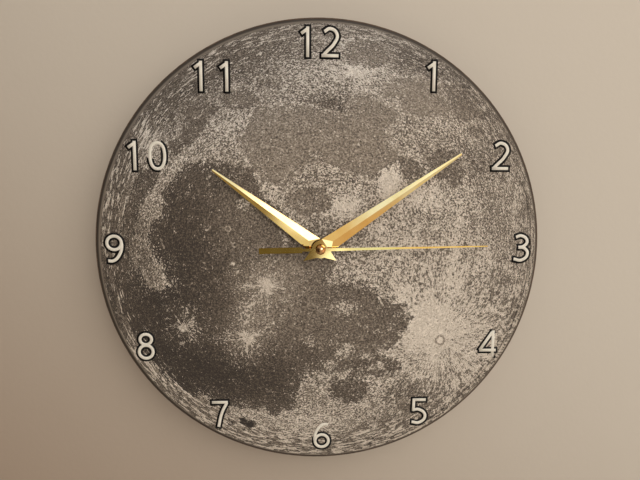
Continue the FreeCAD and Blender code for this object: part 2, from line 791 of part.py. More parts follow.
def make_winding():
    x0 = bobbin_x0 + bobbin_flange_t
    x1 = bobbin_x1 - bobbin_flange_t
    return along_x(winding_r, x0, x1).cut(along_x(bobbin_spool_r, x0 - cut_over, x1 + cut_over))


def make_pcb():
    return block(pcb_x0, pcb_x1, y_pcb, y_pcb_back, pcb_z0, pcb_z1)


def make_chip():
    # A low drop of resin over the clock chip
    place = V(pcb_x0 + pcb_w / 3, y_pcb_back, pcb_z0 + pcb_h / 2)
    sphere_r = (chip_r * chip_r + chip_h * chip_h) / (2 * chip_h)
    ball = Part.makeSphere(sphere_r, place + V(0, chip_h - sphere_r, 0))
    return ball.common(Part.makeCylinder(chip_r, chip_h, place, SPIN))


def make_crystal():
    x0 = pcb_x0 + pcb_w / 2
    can = Part.makeCylinder(can_r, can_len, V(x0, y_pcb_back + can_r, pcb_z1 - can_r * 2), V(1, 0, 0))
    return can.makeChamfer(can_edge, [edge for edge in can.Edges if edge.Closed])


# Battery and contacts

cell_x0 = -cell_len / 2
cell_x1 = cell_len / 2 - cell_nub_h
riser_x = pcb_x1 - pcb_post_inset * 2 - strip_w


def make_cell():
    body = Part.makeCylinder(cell_r, cell_x1 - cell_x0, V(cell_x0, cell_y, cell_z), V(1, 0, 0))
    body = body.makeChamfer(cell_rim, [edge for edge in body.Edges if edge.Closed])
    nub = Part.makeCylinder(cell_nub_d / 2, cell_nub_h, V(cell_x1, cell_y, cell_z), V(1, 0, 0))
    return join([body, nub])


def make_positive():
    # A pad behind the nub, a strip up the side wall and a tab on the circuit board
    x1 = inner_half
    x0 = x1 - strip_t
    pad = block(x0, x1, cell_y - pad_w / 2, cell_y + pad_w / 2, cell_z - pad_h / 2, z_partition)
    strip = block(x0, x1, y_pcb_back, y_pcb_back + strip_w, cell_z, pcb_z0 + strip_w * 2)
    tab = block(x1 - pcb_edge_gap - strip_w, x1, y_pcb_back, y_pcb_back + strip_t,
                pcb_z0 + strip_w, pcb_z0 + strip_w * 2)
    reach = x0 - cell_len / 2
    dimple = Part.makeCylinder(dimple_r, reach, V(cell_len / 2, cell_y, cell_z), V(1, 0, 0))
    return join([pad, strip, tab, dimple])


def make_negative():
    # A sprung pad at the flat end, a strip beside the cell and a riser to the circuit board
    x0 = -inner_half
    pad = block(x0, x0 + strip_t, y_floor, cell_y + pad_w / 2, cell_z - pad_h / 2,
                cell_z + pad_h / 2)
    elbow = block(x0, x0 + strip_t, y_floor, y_floor + strip_w, cell_z, z_partition)
    run = block(x0, riser_x + strip_w, y_floor, y_floor + strip_w, z_partition - strip_t, z_partition)
    rise = block(riser_x, riser_x + strip_w, y_floor, y_floor + strip_t, z_partition - strip_t,
                 pcb_z0 + strip_w)
    leg = block(riser_x, riser_x + strip_w, y_floor, y_pcb, pcb_z0 + strip_w - strip_t,
                pcb_z0 + strip_w)
    gap = cell_x0 - x0 - strip_t
    spring = Part.makeCone(dimple_r * 2, dimple_r, gap, V(x0 + strip_t, cell_y, cell_z), V(1, 0, 0))
    return join([pad, elbow, run, rise, leg, spring])


# Hands

def folded_blade(length, half_w, shoulder, y_front):
    # Two facets that meet in a ridge, a short one that closes it towards the hub, and a flat
    # root. The ridge height follows the width, so that each facet is flat.
    slope = ridge_rise / half_w
    taper = (half_w - hand_tip_half_w) / (length - shoulder)
    ridge_along = shoulder + ridge_setback
    ridge_start = V(0, y_front - slope * (half_w - taper * ridge_setback), ridge_along)
    ridge_end = V(0, y_front - slope * hand_tip_half_w, length)
    left = V(-half_w, y_front, shoulder)
    right = V(half_w, y_front, shoulder)
    facets = [(left, ridge_start, right)]
    for side, corner in ((-1, left), (1, right)):
        facets.append((corner, V(side * hand_tip_half_w, y_front, length), ridge_end, ridge_start))
    pieces = []
    for corners in facets:
        face = Part.Face(Part.makePolygon(list(corners) + [corners[0]]))
        pieces.append(face.extrude(V(0, hand_sheet, 0)))
    root = ((-half_w, shoulder), (half_w, shoulder), (root_half_w, 0), (-root_half_w, 0))
    pieces.append(slab(root, y_front, y_front + hand_sheet))
    return pieces


def make_faceted_hand(length, half_w, shoulder, tail, degrees, y_front, tube_r, y_collar):
    pieces = folded_blade(length, half_w, shoulder, y_front)
    y_back = y_front + hand_sheet
    pieces.append(rod(centre, hub_disc_r, y_front, y_back))
    # The short tail starts inside the disc
    tail_root = math.sqrt(hub_disc_r ** 2 - hand_tail_half_w ** 2) * tail_root_share
    dart = ((-hand_tail_half_w, -tail_root), (0, -tail), (hand_tail_half_w, -tail_root))
    pieces.append(slab(dart, y_front, y_back))
    pieces.append(rod(centre, tube_r + collar_wall, y_back, y_collar))
    bore = rod(centre, tube_r, y_front - cut_over, y_collar + cut_over)
    return turned(join(pieces).cut(bore), degrees)


def make_hour_hand():
    y_collar = y_hour_hand + hand_sheet + hour_hand_gap - collar_gap
    return make_faceted_hand(hour_len, hour_half_w, hour_shoulder, hour_tail, hour_deg, y_hour_hand,
                             hour_tube_d / 2, y_collar)


def make_minute_hand():
    y_collar = y_hour_hand - tube_proud - collar_gap
    return make_faceted_hand(minute_len, minute_half_w, minute_shoulder, minute_tail, minute_deg,
                             y_minute_hand, minute_tube_d / 2, y_collar)


def make_second_hand():
    outline = ((-second_half_w, 0), (-second_tip_half_w, second_len), (second_tip_half_w, second_len),
               (second_half_w, 0), (second_neck_half_w, -second_neck),
               (second_weight_half_w, -second_neck), (second_weight_half_w, -second_tail),
               (-second_weight_half_w, -second_tail), (-second_weight_half_w, -second_neck),
               (-second_neck_half_w, -second_neck))
    y_back = y_second_hand + second_sheet
    needle = slab(outline, y_second_hand, y_back)
    boss = rod(centre, second_boss_r, y_second_hand, y_back)
    pipe = rod(centre, second_tube_r, y_back, y_minute_hand - tube_proud - collar_gap)
    bore = rod(centre, second_arbor_d / 2, y_second_hand - cut_over, y_minute_hand)
    return turned(join([needle, boss, pipe]).cut(bore), second_deg)


def make_cap():
    # A round polished dome over the end of the arbor
    sphere_r = (cap_r * cap_r + cap_h * cap_h) / (2 * cap_h)
    ball = Part.makeSphere(sphere_r, V(0, y_second_hand - cap_h + sphere_r, 0))
    return ball.common(rod(centre, cap_r, y_cap, y_second_hand))


parts = {
    "moon_dial": make_board(),
    "threaded_bushing": make_bushing(),
    "fixing_nut": make_nut(),
    "metal_washer": ring(centre, washer_d / 2, bush_d / 2, y_washer, y_dial),
    "rubber_washer": ring(centre, rubber_d / 2, bush_d / 2, y_board_back, y_hanger),
    "hanger_plate": make_hanger(),
    "movement_case": make_case(),
    "back_cover": make_cover(),
    "middle_plate": make_plate(),
    "plate_screws": make_screws(plate_posts, y_plate_back, plate_t + pilot_hole_depth),
    "hour_wheel": make_hour_wheel(),
    "minute_tube": make_minute_tube(),
    "centre_wheel": make_centre_wheel(),
    "minute_wheel": make_minute_wheel(),
    "third_wheel": make_third_wheel(),
    "second_wheel": make_second_wheel(),
    "second_arbor": make_second_arbor(),
    "intermediate_wheel": make_intermediate_wheel(),
    "rotor_pinion": make_rotor_pinion(),
    "rotor_magnet": make_rotor_magnet(),
    "setting_gear": make_setting_gear(),
    "setting_knob": make_setting_knob(),
    "stator": make_stator(),
    "coil_core": make_core(),
    "coil_bobbin": make_bobbin(),
    "coil_winding": make_winding(),
    "coil_screws": make_screws([(x, coil_z) for x in (left_leg_x, right_leg_x)],
                               y_stator + stator_t, stator_t + core_t + pilot_hole_depth),
    "circuit_board": make_pcb(),
    "clock_chip": make_chip(),
    "crystal_can": make_crystal(),
    "positive_contact": make_positive(),
    "negative_contact": make_negative(),
    "battery_cell": make_cell(),
    "hour_hand": make_hour_hand(),
    "minute_hand": make_minute_hand(),
    "second_hand": make_second_hand(),
    "second_hand_cap": make_cap(),
}

os.makedirs("parts", exist_ok=True)
for name, shape in parts.items():
    shape.exportStep("parts/" + name + ".step")
    box = shape.optimalBoundingBox(False)
    print(name, len(shape.Solids), "solids", shape.isValid(), round(shape.Volume, 1), "mm3",
          [round(value, 1) for value in (box.XMin, box.YMin, box.ZMin, box.XMax, box.YMax, box.ZMax)])
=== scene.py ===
import json
import math

import bmesh
import bpy
import numpy as np
from mathutils import Matrix, Vector


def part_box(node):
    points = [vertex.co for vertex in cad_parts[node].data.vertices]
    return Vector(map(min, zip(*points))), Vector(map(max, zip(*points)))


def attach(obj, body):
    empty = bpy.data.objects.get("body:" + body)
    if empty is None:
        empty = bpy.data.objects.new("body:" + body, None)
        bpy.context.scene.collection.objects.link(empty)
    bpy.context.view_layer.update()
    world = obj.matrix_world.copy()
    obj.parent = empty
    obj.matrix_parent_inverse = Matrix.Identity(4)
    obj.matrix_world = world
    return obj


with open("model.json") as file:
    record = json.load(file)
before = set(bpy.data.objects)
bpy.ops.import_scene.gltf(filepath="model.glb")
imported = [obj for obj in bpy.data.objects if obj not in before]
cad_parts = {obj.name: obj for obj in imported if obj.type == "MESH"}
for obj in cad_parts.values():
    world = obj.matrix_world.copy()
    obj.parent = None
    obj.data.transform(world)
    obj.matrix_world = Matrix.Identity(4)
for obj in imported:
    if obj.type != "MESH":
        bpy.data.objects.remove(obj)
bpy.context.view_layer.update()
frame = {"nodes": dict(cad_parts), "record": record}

mm = 0.001
mergeGap = 0.001        # millimetres
noiseMiddle = 0.5
floatSocket, vectorSocket = "NodeSocketFloat", "NodeSocketVector"


# Small helpers for node trees

def plug(tree, socket, value):
    if isinstance(value, bpy.types.NodeSocket):
        tree.links.new(value, socket)
    else:
        socket.default_value = value


def put(tree, kind, inputs=None, **settings):
    node = tree.nodes.new(kind)
    for name, value in settings.items():
        setattr(node, name, value)
    for name, value in (inputs or {}).items():
        plug(tree, node.inputs[name], value)
    return node


def calc(tree, operation, a, b=0.0, c=0.0):
    return put(tree, "ShaderNodeMath", {0: a, 1: b, 2: c}, operation=operation).outputs[0]


def times(tree, a, b):
    return calc(tree, "MULTIPLY", a, b)


def less(tree, a, b):
    return calc(tree, "SUBTRACT", a, b)


def addTimes(tree, base, value, gain):
    # base + value * gain
    return calc(tree, "MULTIPLY_ADD", value, gain, base)


def vecCalc(tree, operation, a, b=(0, 0, 0), scale=None):
    node = put(tree, "ShaderNodeVectorMath", {0: a, 1: b}, operation=operation)
    if scale is not None:
        plug(tree, node.inputs["Scale"], scale)
    return node.outputs["Value" if operation in ("LENGTH", "DISTANCE", "DOT_PRODUCT") else "Vector"]


def alongY(tree, value):
    return put(tree, "ShaderNodeCombineXYZ", {1: value}).outputs[0]


def ease(tree, value, low, high, to=(0.0, 1.0)):
    # A soft step from low to high, which may lie either way round
    return put(tree, "ShaderNodeMapRange", {"Value": value, "From Min": low, "From Max": high,
                                            "To Min": to[0], "To Max": to[1]},
               interpolation_type="SMOOTHSTEP").outputs["Result"]


def noiseNode(tree, vector, scale, detail=2.0, roughness=0.5, distortion=0.0):
    return put(tree, "ShaderNodeTexNoise", {"Vector": vector, "Scale": scale, "Detail": detail,
                                            "Roughness": roughness, "Distortion": distortion})


def noiseOf(tree, vector, *look):
    return noiseNode(tree, vector, *look).outputs["Fac"]


def swingOf(tree, vector, *look):
    # The same noise about zero
    return less(tree, noiseOf(tree, vector, *look), noiseMiddle)


def linear(rgb):
    # Screen colour, 0 to 255, to the linear colour that the shader takes
    share = [value / 255 for value in rgb]
    return tuple(s / 12.92 if s <= 0.04045 else ((s + 0.055) / 1.055) ** 2.4 for s in share) + (1.0,)


def rampOf(tree, value, stops):
    node = put(tree, "ShaderNodeValToRGB", {"Fac": value})
    ramp = node.color_ramp
    while len(ramp.elements) < len(stops):
        ramp.elements.new(0.5)
    for element, (place, rgb) in zip(ramp.elements, stops):
        element.position = place
        element.color = linear(rgb)
    return node.outputs["Color"]


def mix(tree, share, a, b):
    return put(tree, "ShaderNodeMix", {0: share, 2: a, 3: b}, data_type="FLOAT").outputs[0]


def blend(tree, share, a, b, mode="MIX"):
    node = put(tree, "ShaderNodeMix", data_type="RGBA", blend_type=mode)
    for number, value in ((0, share), (6, a), (7, b)):
        plug(tree, node.inputs[number], value)
    return node.outputs[2]


def newMaterial(name, **values):
    material = bpy.data.materials.new(name)
    material.use_nodes = True
    tree = material.node_tree
    shader = tree.nodes["Principled BSDF"]
    for socket, value in values.items():
        shader.inputs[socket.replace("_", " ")].default_value = value
    return material, tree, shader


def dress(tree, shader, colour, roughness, height, strength, deep):
    # What changes over a surface: its colour, its roughness and its relief, deep millimetres high
    plug(tree, shader.inputs["Base Color"], colour)
    plug(tree, shader.inputs["Roughness"], roughness)
    bump = put(tree, "ShaderNodeBump", {"Strength": strength, "Distance": deep * mm, "Height": height})
    plug(tree, shader.inputs["Normal"], bump.outputs["Normal"])


def objectPlace(tree):
    return put(tree, "ShaderNodeTexCoord").outputs["Object"]


def newGroup(name, inputs, outputs):
    group = bpy.data.node_groups.new(name, "ShaderNodeTree")
    for label, kind, value in inputs:
        socket = group.interface.new_socket(name=label, in_out="INPUT", socket_type=kind)
        if value is not None:
            socket.default_value = value
    for label, kind in outputs:
        group.interface.new_socket(name=label, in_out="OUTPUT", socket_type=kind)
    source = group.nodes.new("NodeGroupInput")
    target = group.nodes.new("NodeGroupOutput")
    return group, source.outputs, target.inputs


def useGroup(tree, group, **values):
    node = put(tree, "ShaderNodeGroup", node_tree=group)
    for name, value in values.items():
        plug(tree, node.inputs[name], value)
    return node.outputs


# Small helpers for meshes

def newPiece(name, mesh, material):
    # The object stands at the origin, and its place is in its mesh
    data = bpy.data.meshes.new(name)
    mesh.to_mesh(data)
    mesh.free()
    data.materials.append(material)
    piece = bpy.data.objects.new(name, data)
    bpy.context.collection.objects.link(piece)
    return piece


def turned(degrees, axis):
    return Matrix.Rotation(math.radians(degrees), 3, axis)


# Fine tooth of a moulded, painted or rolled surface: a share for colours and a height

fineGrain = {"size": 0.4, "coarser": 12.0, "detail": 3.0, "roughness": 0.6, "half": 0.5,
             "step": (0.35, 0.65)}


def makeGrainGroup():
    inputs = (("Vector", vectorSocket, None), ("Size", floatSocket, fineGrain["size"]),
              ("Stretch", vectorSocket, (1, 1, 1)))
    outputs = (("Share", floatSocket), ("Height", floatSocket))
    group, given, out = newGroup("fineGrain", inputs, outputs)
    placed = vecCalc(group, "MULTIPLY", given["Vector"], given["Stretch"])
    scale = calc(group, "DIVIDE", 1 / mm, given["Size"])
    coarse = calc(group, "DIVIDE", scale, fineGrain["coarser"])
    broad = noiseOf(group, placed, coarse, fineGrain["detail"])
    fine = noiseOf(group, placed, scale, fineGrain["detail"], fineGrain["roughness"])
    both = addTimes(group, times(group, broad, fineGrain["half"]), fine, fineGrain["half"])
    plug(group, out["Share"], ease(group, both, *fineGrain["step"]))
    plug(group, out["Height"], fine)
    return group


grain = makeGrainGroup()


# The moon on the dial. Places are millimetres right and up from the hands' axis.

moon = {
    "radius": 149.2, "hole": 6.25, "thick": 0.20, "relief": 0.10, "rings": 136, "steps": 560,
    "centre": (0.6, -0.6), "shoreSoft": 2.0, "shoreFar": 30,
    # Width of the plain edges, and lifts as shares of the relief
    "plainEdge": 4, "brightLift": 0.3, "islandLift": 0.5, "wallLift": 0.9, "floorDrop": 0.7,
    # Young craters: where the core ends, in cores, how soon the grain turns to threads, their pattern
    "coreEdge": 1.3, "grainFade": 2, "threadStart": 0.01, "threadStep": 0.30, "threadShift": 10,
    "ringFar": 5.0,
}

# Seas: (tone, outline)
seas = {
    "greatSea": (0.285, ((-76, 58), (-65, 59), (-51, 57), (-43, 51), (-39, 38), (-32, 31), (-24, 24),
                        (-16, 16), (-8, 7), (0, -1), (9, -6), (10, -13), (5, -18), (8, -25), (19, -23),
                        (32, -24), (39, -28), (42, -35), (53, -36), (60, -40), (63, -47), (61, -54),
                        (56, -61), (53, -67), (45, -71), (42, -75), (54, -78), (57, -84), (51, -91),
                        (41, -93), (30, -90), (21, -87), (13, -89), (2, -87), (-11, -91), (-13, -97),
                        (-15, -105), (-14, -111), (-21, -116), (-29, -118), (-40, -115), (-51, -114),
                        (-61, -113), (-68, -111), (-78, -105), (-87, -105), (-96, -101), (-106, -91),
                        (-117, -78), (-127, -61), (-135, -44), (-139, -27), (-139, -1), (-134, 9),
                        (-132, 22), (-129, 33), (-123, 44), (-118, 52), (-107, 53), (-107, 44),
                        (-113, 37), (-119, 27), (-120, 18), (-125, 5), (-127, -6), (-123, -15),
                        (-116, -24), (-108, -29), (-100, -24), (-104, -18), (-108, -9), (-112, -2),
                        (-116, 3), (-116, 11), (-112, 18), (-107, 22), (-105, 30), (-104, 39),
                        (-100, 45), (-94, 52), (-88, 57))),
    "roundSea": (0.27, ((7, -92), (18, -89), (30, -90), (36, -95), (34, -103), (29, -108), (18, -111),
                        (8, -107), (3, -100))),
    "coldSea": (0.34, ((-100, 70), (-94, 73), (-90, 81), (-92, 89), (-88, 96), (-79, 99), (-68, 98),
                       (-67, 91), (-71, 85), (-73, 78), (-77, 74), (-85, 71), (-90, 65), (-96, 61),
                       (-101, 64))),
    "sleepLake": (0.37, ((-66, 102), (-56, 106), (-46, 104), (-39, 100), (-41, 94), (-46, 89),
                         (-56, 91), (-65, 93))),
    "smallLake": (0.38, ((-42, 110), (-35, 113), (-26, 112), (-27, 105), (-35, 103), (-42, 104))),
    "calmSeas": (0.475, ((-55, 72), (-51, 80), (-45, 87), (-41, 94), (-24, 95), (-7, 94), (1, 90),
                        (16, 91), (19, 99), (27, 103), (36, 102), (40, 95), (49, 95), (51, 87),
                        (43, 79), (45, 73), (53, 65), (51, 58), (43, 53), (37, 48), (23, 48),
                        (13, 53), (5, 57), (-3, 54), (-11, 57), (-16, 49), (-22, 41), (-34, 42),
                        (-42, 47), (-48, 56), (-51, 63))),
    "mistSea": (0.40, ((-25, 35), (-14, 41), (0, 42), (7, 36), (8, 29), (3, 24), (-7, 21), (-17, 25),
                       (-24, 29))),
    "ovalSea": (0.41, ((13, 131), (19, 136), (28, 137), (37, 135), (44, 128), (45, 124), (39, 120),
                       (31, 118), (22, 120), (16, 122))),
    "harvestSea": (0.49, ((39, 104), (44, 110), (52, 112), (65, 113), (75, 111), (81, 104), (86, 97),
                          (90, 91), (86, 87), (78, 89), (66, 87), (58, 88), (53, 94), (50, 99),
                          (43, 99))),
    "edgeLakes": (0.38, ((79, 111), (89, 109), (98, 102), (106, 93), (102, 85), (94, 84), (87, 91),
                         (83, 100))),
    "nectarSea": (0.36, ((70, 61), (75, 67), (83, 68), (91, 65), (95, 58), (98, 53), (96, 44), (89, 40),
                         (85, 48), (81, 44), (74, 52))),
    "roughBay": (0.36, ((51, 62), (60, 61), (69, 57), (68, 48), (59, 46), (51, 50))),
    "eastPond": (0.37, ((96, 79), (100, 84), (106, 83), (110, 78), (105, 74), (99, 75))),
    "limbOval": (0.20, ((-57, -121), (-51, -120), (-45, -123), (-44, -126), (-49, -128), (-55, -125))),
    "limbPond": (0.24, ((-64, -123), (-61, -123), (-59, -125), (-63, -126))),
    "southPlain": (0.36, ((54, -112), (62, -108), (75, -109), (83, -112), (75, -118), (65, -120),
                          (56, -117))),
}

# Soft shades of the land's bright share: (x, z, half width, half height, turn, gain)
landBase = 0.46
landShades = (
    (74, -54, 14, 14, 0, 0.46), (84, -62, 34, 34, 0, 0.14), (94, 8, 4, 52, -4, 0.16),
    (60, -20, 26, 20, 0, 0.04), (17, 29, 11, 8, 0, 0.48), (46, 44, 8, 12, 0, 0.52),
    (71, 36, 13, 8, 0, 0.34), (40, 12, 8, 8, 0, 0.20), (60, 10, 40, 40, 0, 0.06),
    (30, 116, 22, 5, -8, 0.14), (-10, 112, 18, 12, 0, 0.08), (-12, 128, 16, 6, 0, -0.10),
    (-55, 118, 42, 14, 28, -0.20), (-98, 88, 34, 16, 48, -0.16), (-112, 70, 8, 9, 0, 0.30),
    (-128, 20, 12, 50, 0, -0.16), (-62, 78, 10, 16, 0, 0.10), (-33, 39, 8, 8, 0, 0.20),
    (8, 97, 18, 7, 0, -0.24), (62, 122, 26, 8, -25, -0.18), (100, 100, 34, 12, -45, -0.14),
    (118, 60, 16, 20, 0, -0.04), (100, 60, 14, 16, 0, -0.16), (128, -20, 9, 60, 8, -0.12),
    (90, -100, 34, 12, 30, -0.12), (60, -102, 22, 12, 0, -0.14), (40, -125, 50, 8, 8, -0.10),
    (-5, -125, 28, 10, 0, 0.18), (-85, -112, 26, 7, -30, -0.10), (10, 8, 22, 12, 0, -0.12),
    (-116, -14, 8, 24, 10, -0.08), (-138, -36, 9, 44, 0, -0.34), (108, -84, 12, 14, -45, 0.16),
    (-128, -2, 16, 30, 0, -0.10),
)
# Soft shades of the seas, the same way
seaShades = (
    (-106, -46, 36, 60, 0, -0.19), (-60, -90, 50, 26, 0, -0.17), (-30, -30, 40, 34, 0, 0.08),
    (-50, -62, 22, 20, 0, 0.05), (10, -60, 40, 30, 0, 0.07), (-10, -10, 26, 16, 0, 0.08),
    (-90, 20, 26, 40, 0, -0.08), (-50, 20, 30, 24, 0, 0.09), (-30, 90, 20, 8, 0, 0.02),
)
# Craters with rays: (x, z, core, reach, threads, dust, rays, share of grain)
rayCraters = (
    (84.4, -64.8, 3.2, 92, 30.0, 0.08, 0.24, 0.58), (-36.8, -26.0, 6.2, 30, 16.0, 0.38, 0.38, 0.60),
    (-50.1, -61.7, 5.4, 26, 14.0, 0.42, 0.30, 0.45), (-93.6, -54.4, 3.4, 22, 12.0, 0.22, 0.36, 0.7),
    (20.2, 116.2, 2.2, 24, 9.0, 0.15, 0.20, 0.4),
)
# Single craters: (x, z, radius, wall, rim gain, floor gain)
ringCraters = (
    (84.4, -64.8, 2.9, 1.2, -0.34, 0.10), (-100.8, 48.7, 4.4, 0.7, 0.22, -0.06),
    (59.5, -58.1, 3.8, 0.8, 0.06, -0.14), (-62, 13, 1.8, 0.6, 0.30, 0.05),
    (-61.1, 69.8, 1.4, 0.7, 0.10, -0.45), (-59, -10.8, 0.9, 0.8, 0.45, 0.4),
    (-30, 55, 1.5, 0.5, 0.16, -0.1), (-78.4, -10.1, 0.6, 0.6, 0.35, 0.3),
    (-48, 33, 2.2, 0.6, 0.22, 0.0), (-53.5, -122.6, 2.8, 0.7, 0.05, -0.5),
    (-48.5, -124.8, 2.8, 0.7, 0.05, -0.5), (-52, 52, 2.0, 0.6, 0.16, -0.05),
    (-60, 44, 1.6, 0.5, 0.18, 0.0), (26, 42, 1.3, 0.7, 0.2, 0.3),
)
# Bright islands in the seas: (x, z, half width, half height, turn)
islands = (
    (17, -41, 13, 6, 0), (18, -72, 9, 8, 20), (-7, -65, 6, 5, -20), (-3, 62, 5, 4, 20),
    (-10, 43, 4, 3, 0), (8, -82, 7, 4, 0), (32, -76, 8, 4, 0), (-34, 40, 7, 7, 0), (-50, 30, 8, 6, 0),
    (40, -84, 9, 4, 10), (2, -97, 5, 8, 0), (-24, 6, 3, 10, 10), (-12, 30, 4, 4, 0),
)
craterNames = ("dust", "rays", "core", "grainShare", "ringOff", "ringRim", "ringFloor", "ringWall")


def insideDistance(x, z, outline):
    # Millimetres from the outline, above zero inside it
    nearest = np.full(x.shape, np.inf)
    crossings = np.zeros(x.shape, bool)
    for (x0, z0), (x1, z1) in zip(outline, outline[1:] + outline[:1]):
        dx, dz = x1 - x0, z1 - z0
        along = np.clip(((x - x0) * dx + (z - z0) * dz) / (dx * dx + dz * dz), 0, 1)
        nearest = np.minimum(nearest, np.hypot(x - x0 - along * dx, z - z0 - along * dz))
        if z0 != z1:
            crossings ^= ((z0 > z) != (z1 > z)) & (x < (z - z0) * dx / dz + x0)
    return np.where(crossings, nearest, -nearest)


def softSpot(x, z, spot):
    sx, sz, halfWide, halfHigh, turn = spot[:5]
    c, s = math.cos(math.radians(turn)), math.sin(math.radians(turn))
    dx, dz = x - sx, z - sz
    across = (dx * c + dz * s) / halfWide
    along = (dz * c - dx * s) / halfHigh
    return np.exp(-(across ** 2 + along ** 2))


def landFields(x, z):
    # Distance to the nearest shore, the tone of the seas, how bright the land is, and the islands
    reach = {name: insideDistance(x, z, outline) for name, (tone, outline) in seas.items()}
    shore = np.max(list(reach.values()), axis=0)
    weight = {name: np.exp(np.clip((value - shore) / moon["shoreSoft"], -moon["shoreFar"], 0))
              for name, value in reach.items()}
    seaTone = sum(weight[name] * seas[name][0] for name in seas) / sum(weight.values())
    seaTone = seaTone + sum(spot[5] * softSpot(x, z, spot) for spot in seaShades)
    landTone = landBase + sum(spot[5] * softSpot(x, z, spot) for spot in landShades)
    island = np.max([softSpot(x, z, spot) for spot in islands], axis=0)
    return {"shore": shore, "seaTone": seaTone, "landTone": landTone, "island": island}


def craterFields(x, z):
    # Dust, rays and core of the young craters, the threads of grain that run out from the strongest
    # of them, and the rims and floors of the single craters
    field = {name: np.zeros(x.shape) for name in craterNames}
    threads = np.zeros(x.shape + (3,))
    for number, (cx, cz, core, reach, spread, dust, rays, share) in enumerate(rayCraters):
        away = np.hypot(x - cx, z - cz)
        fade = np.clip(1 - away / reach, 0, 1)
        field["dust"] += dust * fade
        field["rays"] += rays * np.sqrt(fade)
        field["core"] += np.clip((moon["coreEdge"] * core - away) / core, 0, 1)
        weight = share * np.clip(fade * moon["grainFade"], 0, 1)
        stronger = weight > field["grainShare"]
        field["grainShare"] = np.maximum(field["grainShare"], weight)
        safe = np.maximum(away, moon["threadStart"])
        along = away * moon["threadStep"] + number * moon["threadShift"]
        polar = np.stack(((x - cx) / safe * spread, along, (z - cz) / safe * spread), axis=-1)
        threads = np.where(stronger[..., None], polar, threads)
    field["ringOff"] += moon["ringFar"]
    for cx, cz, radius, wall, rim, floor in ringCraters:
        off = np.hypot(x - cx, z - cz) - radius
        here = off < field["ringOff"]
        found = {"ringOff": off, "ringRim": rim, "ringFloor": floor, "ringWall": wall}
        for name, value in found.items():
            field[name] = np.where(here, value, field[name])
    return field, threads


def reliefOf(x, z):
    # Lower in the seas and in each crater, and none at the two edges
    land = landFields(x, z)
    shore = np.clip(land["shore"], -moon["shoreFar"], moon["shoreFar"])
    high = 1 / (1 + np.exp(shore)) + moon["brightLift"] * (land["landTone"] - landBase)
    high += moon["islandLift"] * land["island"]
    for cx, cz, size, wall, rim, floor in ringCraters:
        away = np.hypot(x - cx, z - cz)
        high += np.exp(-((away - size) / wall) ** 2) * moon["wallLift"]
        high -= np.where(away < size, moon["floorDrop"], 0)
    radius = np.hypot(x, z)
    calm = np.clip((moon["radius"] - radius) / moon["plainEdge"], 0, 1)
    return high * calm * np.clip((radius - moon["hole"]) / moon["plainEdge"], 0, 1)


def placesOf(verts):
    # Millimetres to the right of the hands' axis and above it
    places = np.array([vertex.co for vertex in verts]) / mm
    return places[:, 0], places[:, 2]


def makeMoonPrint():
    # A thin printed skin on the board's face, spun from one radius, with low relief
    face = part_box("moon_dial")[0][1]
    skin = face - moon["thick"] * mm
    mesh = bmesh.new()
    rings = np.linspace(moon["hole"], moon["radius"], moon["rings"] + 1) * mm
    line = [mesh.verts.new((radius, skin, 0)) for radius in rings]
    edges = [mesh.edges.new(pair) for pair in zip(line, line[1:])]
    bmesh.ops.spin(mesh, geom=line + edges, cent=(0, 0, 0), axis=(0, 1, 0), angle=2 * math.pi,
                   steps=moon["steps"], use_merge=True)
    bmesh.ops.remove_doubles(mesh, verts=mesh.verts[:], dist=mergeGap * mm)
    for vertex, lift in zip(mesh.verts, reliefOf(*placesOf(mesh.verts))):
        vertex.co.y -= lift * moon["relief"] * mm
    # The two edges run back to the board, and a ring closes the back
    rims = [edge for edge in mesh.edges if edge.is_boundary]
    for part in bmesh.ops.extrude_edge_only(mesh, edges=rims)["geom"]:
        if isinstance(part, bmesh.types.BMVert):
            part.co.y = face
    bmesh.ops.bridge_loops(mesh, edges=[edge for edge in mesh.edges if edge.is_boundary])
    bmesh.ops.recalc_face_normals(mesh, faces=mesh.faces[:])
    piece = newPiece("moonPrint", mesh, moonMaterial())
    data = piece.data
    places = placesOf(data.vertices)
    craters, threads = craterFields(*places)
    for name, values in {**landFields(*places), **craters}.items():
        data.attributes.new(name, "FLOAT", "POINT").data.foreach_set("value", values.astype(np.float32))
    data.attributes.new("threads", "FLOAT_VECTOR", "POINT").data.foreach_set(
        "vector", threads.astype(np.float32).ravel())
    data.polygons.foreach_set("use_smooth", [True] * len(data.polygons))
    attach(piece, "movement")


